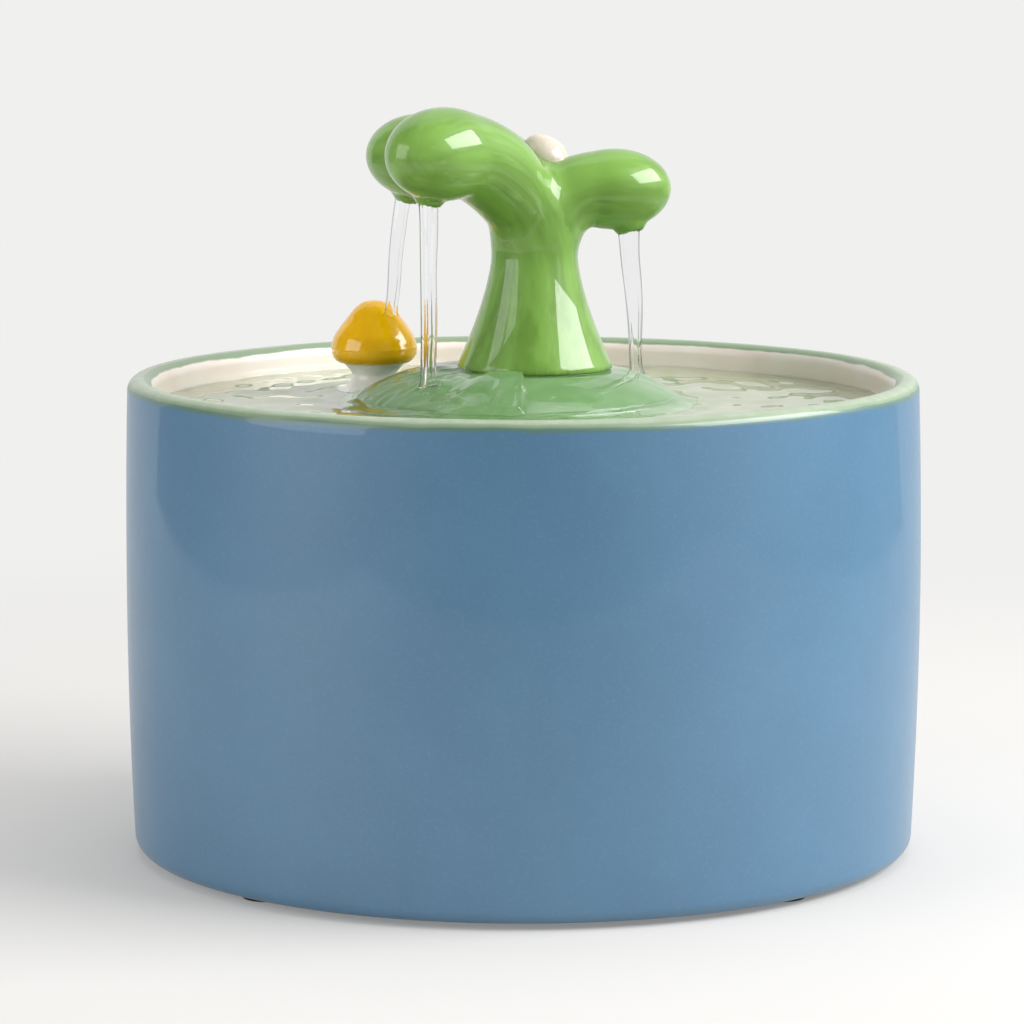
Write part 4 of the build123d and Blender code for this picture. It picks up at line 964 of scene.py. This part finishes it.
def seamless_paper(backdrop):
    """Matt white paper that takes the fountain's shadow near it and glows like the backdrop farther away.

    In gloss and water it is a sheet 1.2 m wide that ends in front of the fountain, and the room beside it is dark,
    less so towards the key lamp. Farther back it widens as the backdrop does. Through water it is pale all round.
    """
    material = bpy.data.materials.new("seamless_paper")
    material.use_nodes = True
    tree = material.node_tree
    tree.nodes.clear()
    place = add_node(tree, "ShaderNodeTexCoord").outputs["Object"]
    away = add_node(tree, "ShaderNodeVectorMath", {0: place}, operation="LENGTH").outputs["Value"]
    path = add_node(tree, "ShaderNodeLightPath").outputs
    parts = add_node(tree, "ShaderNodeSeparateXYZ", {0: place}).outputs
    aside = add_node(tree, "ShaderNodeMath", {0: parts["Y"], 2: parts["X"]}, operation="MULTIPLY_ADD",
                     _1=PAPER_ASIDE).outputs[0]
    aside = add_node(tree, "ShaderNodeMath", {0: aside}, operation="ABSOLUTE").outputs[0]
    edge = add_node(tree, "ShaderNodeMath", {0: parts["Y"]}, operation="MULTIPLY", _1=PAPER_WIDENS).outputs[0]
    edge = add_node(tree, "ShaderNodeMath", {0: edge}, operation="MAXIMUM", _1=PAPER_HALF).outputs[0]
    aside = add_node(tree, "ShaderNodeMath", {0: aside, 1: edge}, operation="SUBTRACT").outputs[0]
    inside = add_node(tree, "ShaderNodeMapRange", {"Value": aside}, interpolation_type="SMOOTHSTEP", From_Min=-0.04,
                      From_Max=0.04, To_Min=1.0, To_Max=0.0).outputs[0]
    behind = add_node(tree, "ShaderNodeMapRange", {"Value": parts["Y"]}, interpolation_type="SMOOTHSTEP",
                      From_Min=PAPER_FRONT[0], From_Max=PAPER_FRONT[1]).outputs[0]
    sheet = add_node(tree, "ShaderNodeMath", {0: inside, 1: behind}, operation="MULTIPLY").outputs[0]
    room = add_node(tree, "ShaderNodeMapRange", {"Value": parts["X"]}, interpolation_type="SMOOTHSTEP", From_Min=-0.2,
                    From_Max=1.0, To_Min=ROOM_GLOW[0], To_Max=ROOM_GLOW[1]).outputs[0]
    sheet = add_node(tree, "ShaderNodeMix", {0: sheet, 2: room}, data_type="FLOAT", _3=0.95).outputs[0]
    sheet = add_node(tree, "ShaderNodeMath", {0: sheet, 1: path["Is Transmission Ray"]},
                     operation="MAXIMUM").outputs[0]
    strength = add_node(tree, "ShaderNodeMix", {0: path["Is Camera Ray"], 2: sheet}, data_type="FLOAT", _3=1.0)
    paper = add_node(tree, "ShaderNodeBsdfDiffuse", Color=linear("#d7d5d2"))
    glow = add_node(tree, "ShaderNodeEmission", {"Strength": strength.outputs[0]}, Color=backdrop)
    far = add_node(tree, "ShaderNodeMapRange", {"Value": away}, interpolation_type="SMOOTHSTEP", From_Min=0.22,
                   From_Max=0.55, To_Min=0.25).outputs[0]
    seen = add_node(tree, "ShaderNodeMath", {0: path["Is Glossy Ray"], 1: path["Is Transmission Ray"]},
                    operation="MAXIMUM").outputs[0]
    seen = add_node(tree, "ShaderNodeMath", {0: seen, 1: path["Is Camera Ray"]}, operation="MAXIMUM").outputs[0]
    share = add_node(tree, "ShaderNodeMath", {0: far, 1: seen}, operation="MULTIPLY").outputs[0]
    near = add_node(tree, "ShaderNodeMixShader", {0: share, 1: paper.outputs[0], 2: glow.outputs[0]})
    add_node(tree, "ShaderNodeOutputMaterial", {"Surface": near.outputs[0]})
    return material


def studio_room(backdrop, sky):
    """The room round the table: an even light, and a plain backdrop behind the fountain for the camera.

    In gloss the backdrop is pale from 56 degrees left of straight back to 48 right, as the paper is, and the room
    beside it is dark. Through water it is pale all round, up to some 20 degrees above the table.
    """
    world = bpy.data.worlds.new("studio_room")
    world.use_nodes = True
    tree = world.node_tree
    tree.nodes.clear()
    direction = add_node(tree, "ShaderNodeTexCoord").outputs["Generated"]
    parts = add_node(tree, "ShaderNodeSeparateXYZ", {0: direction}).outputs
    path = add_node(tree, "ShaderNodeLightPath").outputs
    turned = add_node(tree, "ShaderNodeMath", {0: parts["X"], 1: parts["Y"]}, operation="ARCTAN2").outputs[0]
    turned = add_node(tree, "ShaderNodeMath", {0: turned}, operation="ADD", _1=math.radians(BACKDROP_TURN)).outputs[0]
    turned = add_node(tree, "ShaderNodeMath", {0: turned}, operation="ABSOLUTE").outputs[0]
    behind = add_node(tree, "ShaderNodeMapRange", {"Value": turned}, interpolation_type="SMOOTHSTEP",
                      From_Min=math.radians(BACKDROP_ENDS[0]), From_Max=math.radians(BACKDROP_ENDS[1]), To_Min=1.0,
                      To_Max=0.0).outputs[0]
    room = add_node(tree, "ShaderNodeMapRange", {"Value": parts["X"]}, interpolation_type="SMOOTHSTEP", From_Min=0.0,
                    From_Max=1.0, To_Min=ROOM_GLOW[0], To_Max=ROOM_GLOW[1]).outputs[0]
    behind = add_node(tree, "ShaderNodeMix", {0: behind, 2: room}, data_type="FLOAT", _3=0.88).outputs[0]
    low = add_node(tree, "ShaderNodeMapRange", {"Value": parts["Z"]}, interpolation_type="SMOOTHSTEP", From_Min=0.25,
                   From_Max=0.4, To_Min=1.0, To_Max=0.15).outputs[0]
    behind = add_node(tree, "ShaderNodeMix", {0: path["Is Transmission Ray"], 2: behind, 3: low},
                      data_type="FLOAT").outputs[0]
    seen = add_node(tree, "ShaderNodeMath", {0: path["Is Glossy Ray"], 1: path["Is Transmission Ray"]},
                    operation="MAXIMUM").outputs[0]
    strength = add_node(tree, "ShaderNodeMix", {0: seen, 3: behind}, data_type="FLOAT", _2=sky)
    glow = add_node(tree, "ShaderNodeBackground", {"Strength": strength.outputs[0]}, Color=(1, 1, 1, 1))
    plain = add_node(tree, "ShaderNodeBackground", Color=backdrop, Strength=1.0)
    mix = add_node(tree, "ShaderNodeMixShader", {0: path["Is Camera Ray"], 1: glow.outputs[0], 2: plain.outputs[0]})
    add_node(tree, "ShaderNodeOutputWorld", {"Surface": mix.outputs[0]})
    return world


class FOUNTAIN_OT_studio(bpy.types.Operator):
    """Set up the floor, the lamps, the room and the camera"""

    bl_idname = "fountain.studio"
    bl_label = "Studio"

    def execute(self, context):
        scene, studio = context.scene, context.scene.fountain_studio
        backdrop = tuple(studio.backdrop)
        # Floor: a wide disc whose front is cut straight where it would come near the camera
        radii = np.concatenate([np.linspace(0.01, 1.2, 30), np.linspace(1.4, 12.0, 12)])[:, None]
        turn = np.linspace(0, TAU, 96, endpoint=False)
        below = np.full((len(radii), len(turn)), -0.0001)
        rings = np.stack([radii * np.cos(turn), np.maximum(radii * np.sin(turn), -1.0), below], -1)
        mesh = bpy.data.meshes.new("floor")
        mesh.from_pydata(rings.reshape(-1, 3).tolist(), [], grid_faces(*below.shape)[:, ::-1].tolist())
        floor = bpy.data.objects.new("floor", mesh)
        scene.collection.objects.link(floor)
        mesh.materials.append(seamless_paper(backdrop))

        for name, setting, place, aim, width, height in SOFTBOXES:
            lamp = softbox(name, getattr(studio, setting), place, aim, width, height)
            lamp.visible_glossy = setting != "top"
        scene.world = studio_room(backdrop, studio.sky)

        camera = bpy.data.cameras.new("camera")
        camera.lens, camera.sensor_width = LENS_MM, SENSOR_MM
        holder = bpy.data.objects.new("camera", camera)
        scene.collection.objects.link(holder)
        holder.location = CAMERA_AT
        holder.rotation_euler = (math.radians(CAMERA_TILT), 0, 0)
        scene.camera = holder
        scene.view_settings.view_transform = "Standard"
        return {"FINISHED"}


class FOUNTAIN_PT_panel(bpy.types.Panel):
    """Lists the steps that build the fountain, and their settings."""

    bl_idname = "FOUNTAIN_PT_panel"
    bl_label = "Pet water fountain"
    bl_space_type = "VIEW_3D"
    bl_region_type = "UI"
    bl_category = "Fountain"

    def draw(self, context):
        for step in STEPS:
            self.layout.operator(step.bl_idname)
        for group in (context.scene.fountain_glazes, context.scene.fountain_sizes, context.scene.fountain_studio):
            column = self.layout.column()
            for key in type(group).__annotations__:
                column.prop(group, key)


GROUPS = (Glazes, FountainSizes, StudioLight)
STEPS = (FOUNTAIN_OT_basin, FOUNTAIN_OT_dome, FOUNTAIN_OT_sprout, FOUNTAIN_OT_mushroom, FOUNTAIN_OT_water,
         FOUNTAIN_OT_inner_parts, FOUNTAIN_OT_studio)


def register():
    """Registers the classes and adds the settings to the scene."""
    for kind in (*GROUPS, *STEPS, FOUNTAIN_PT_panel):
        bpy.utils.register_class(kind)
    bpy.types.Scene.fountain_glazes = PointerProperty(type=Glazes)
    bpy.types.Scene.fountain_sizes = PointerProperty(type=FountainSizes)
    bpy.types.Scene.fountain_studio = PointerProperty(type=StudioLight)


def unregister():
    """Removes the settings and the classes."""
    del bpy.types.Scene.fountain_glazes, bpy.types.Scene.fountain_sizes, bpy.types.Scene.fountain_studio
    for kind in (FOUNTAIN_PT_panel, *STEPS, *GROUPS):
        bpy.utils.unregister_class(kind)


def main():
    """Builds everything in order."""
    register()
    for step in STEPS:
        group, name = step.bl_idname.split(".")
        getattr(getattr(bpy.ops, group), name)()


if __name__ == "__main__":
    main()
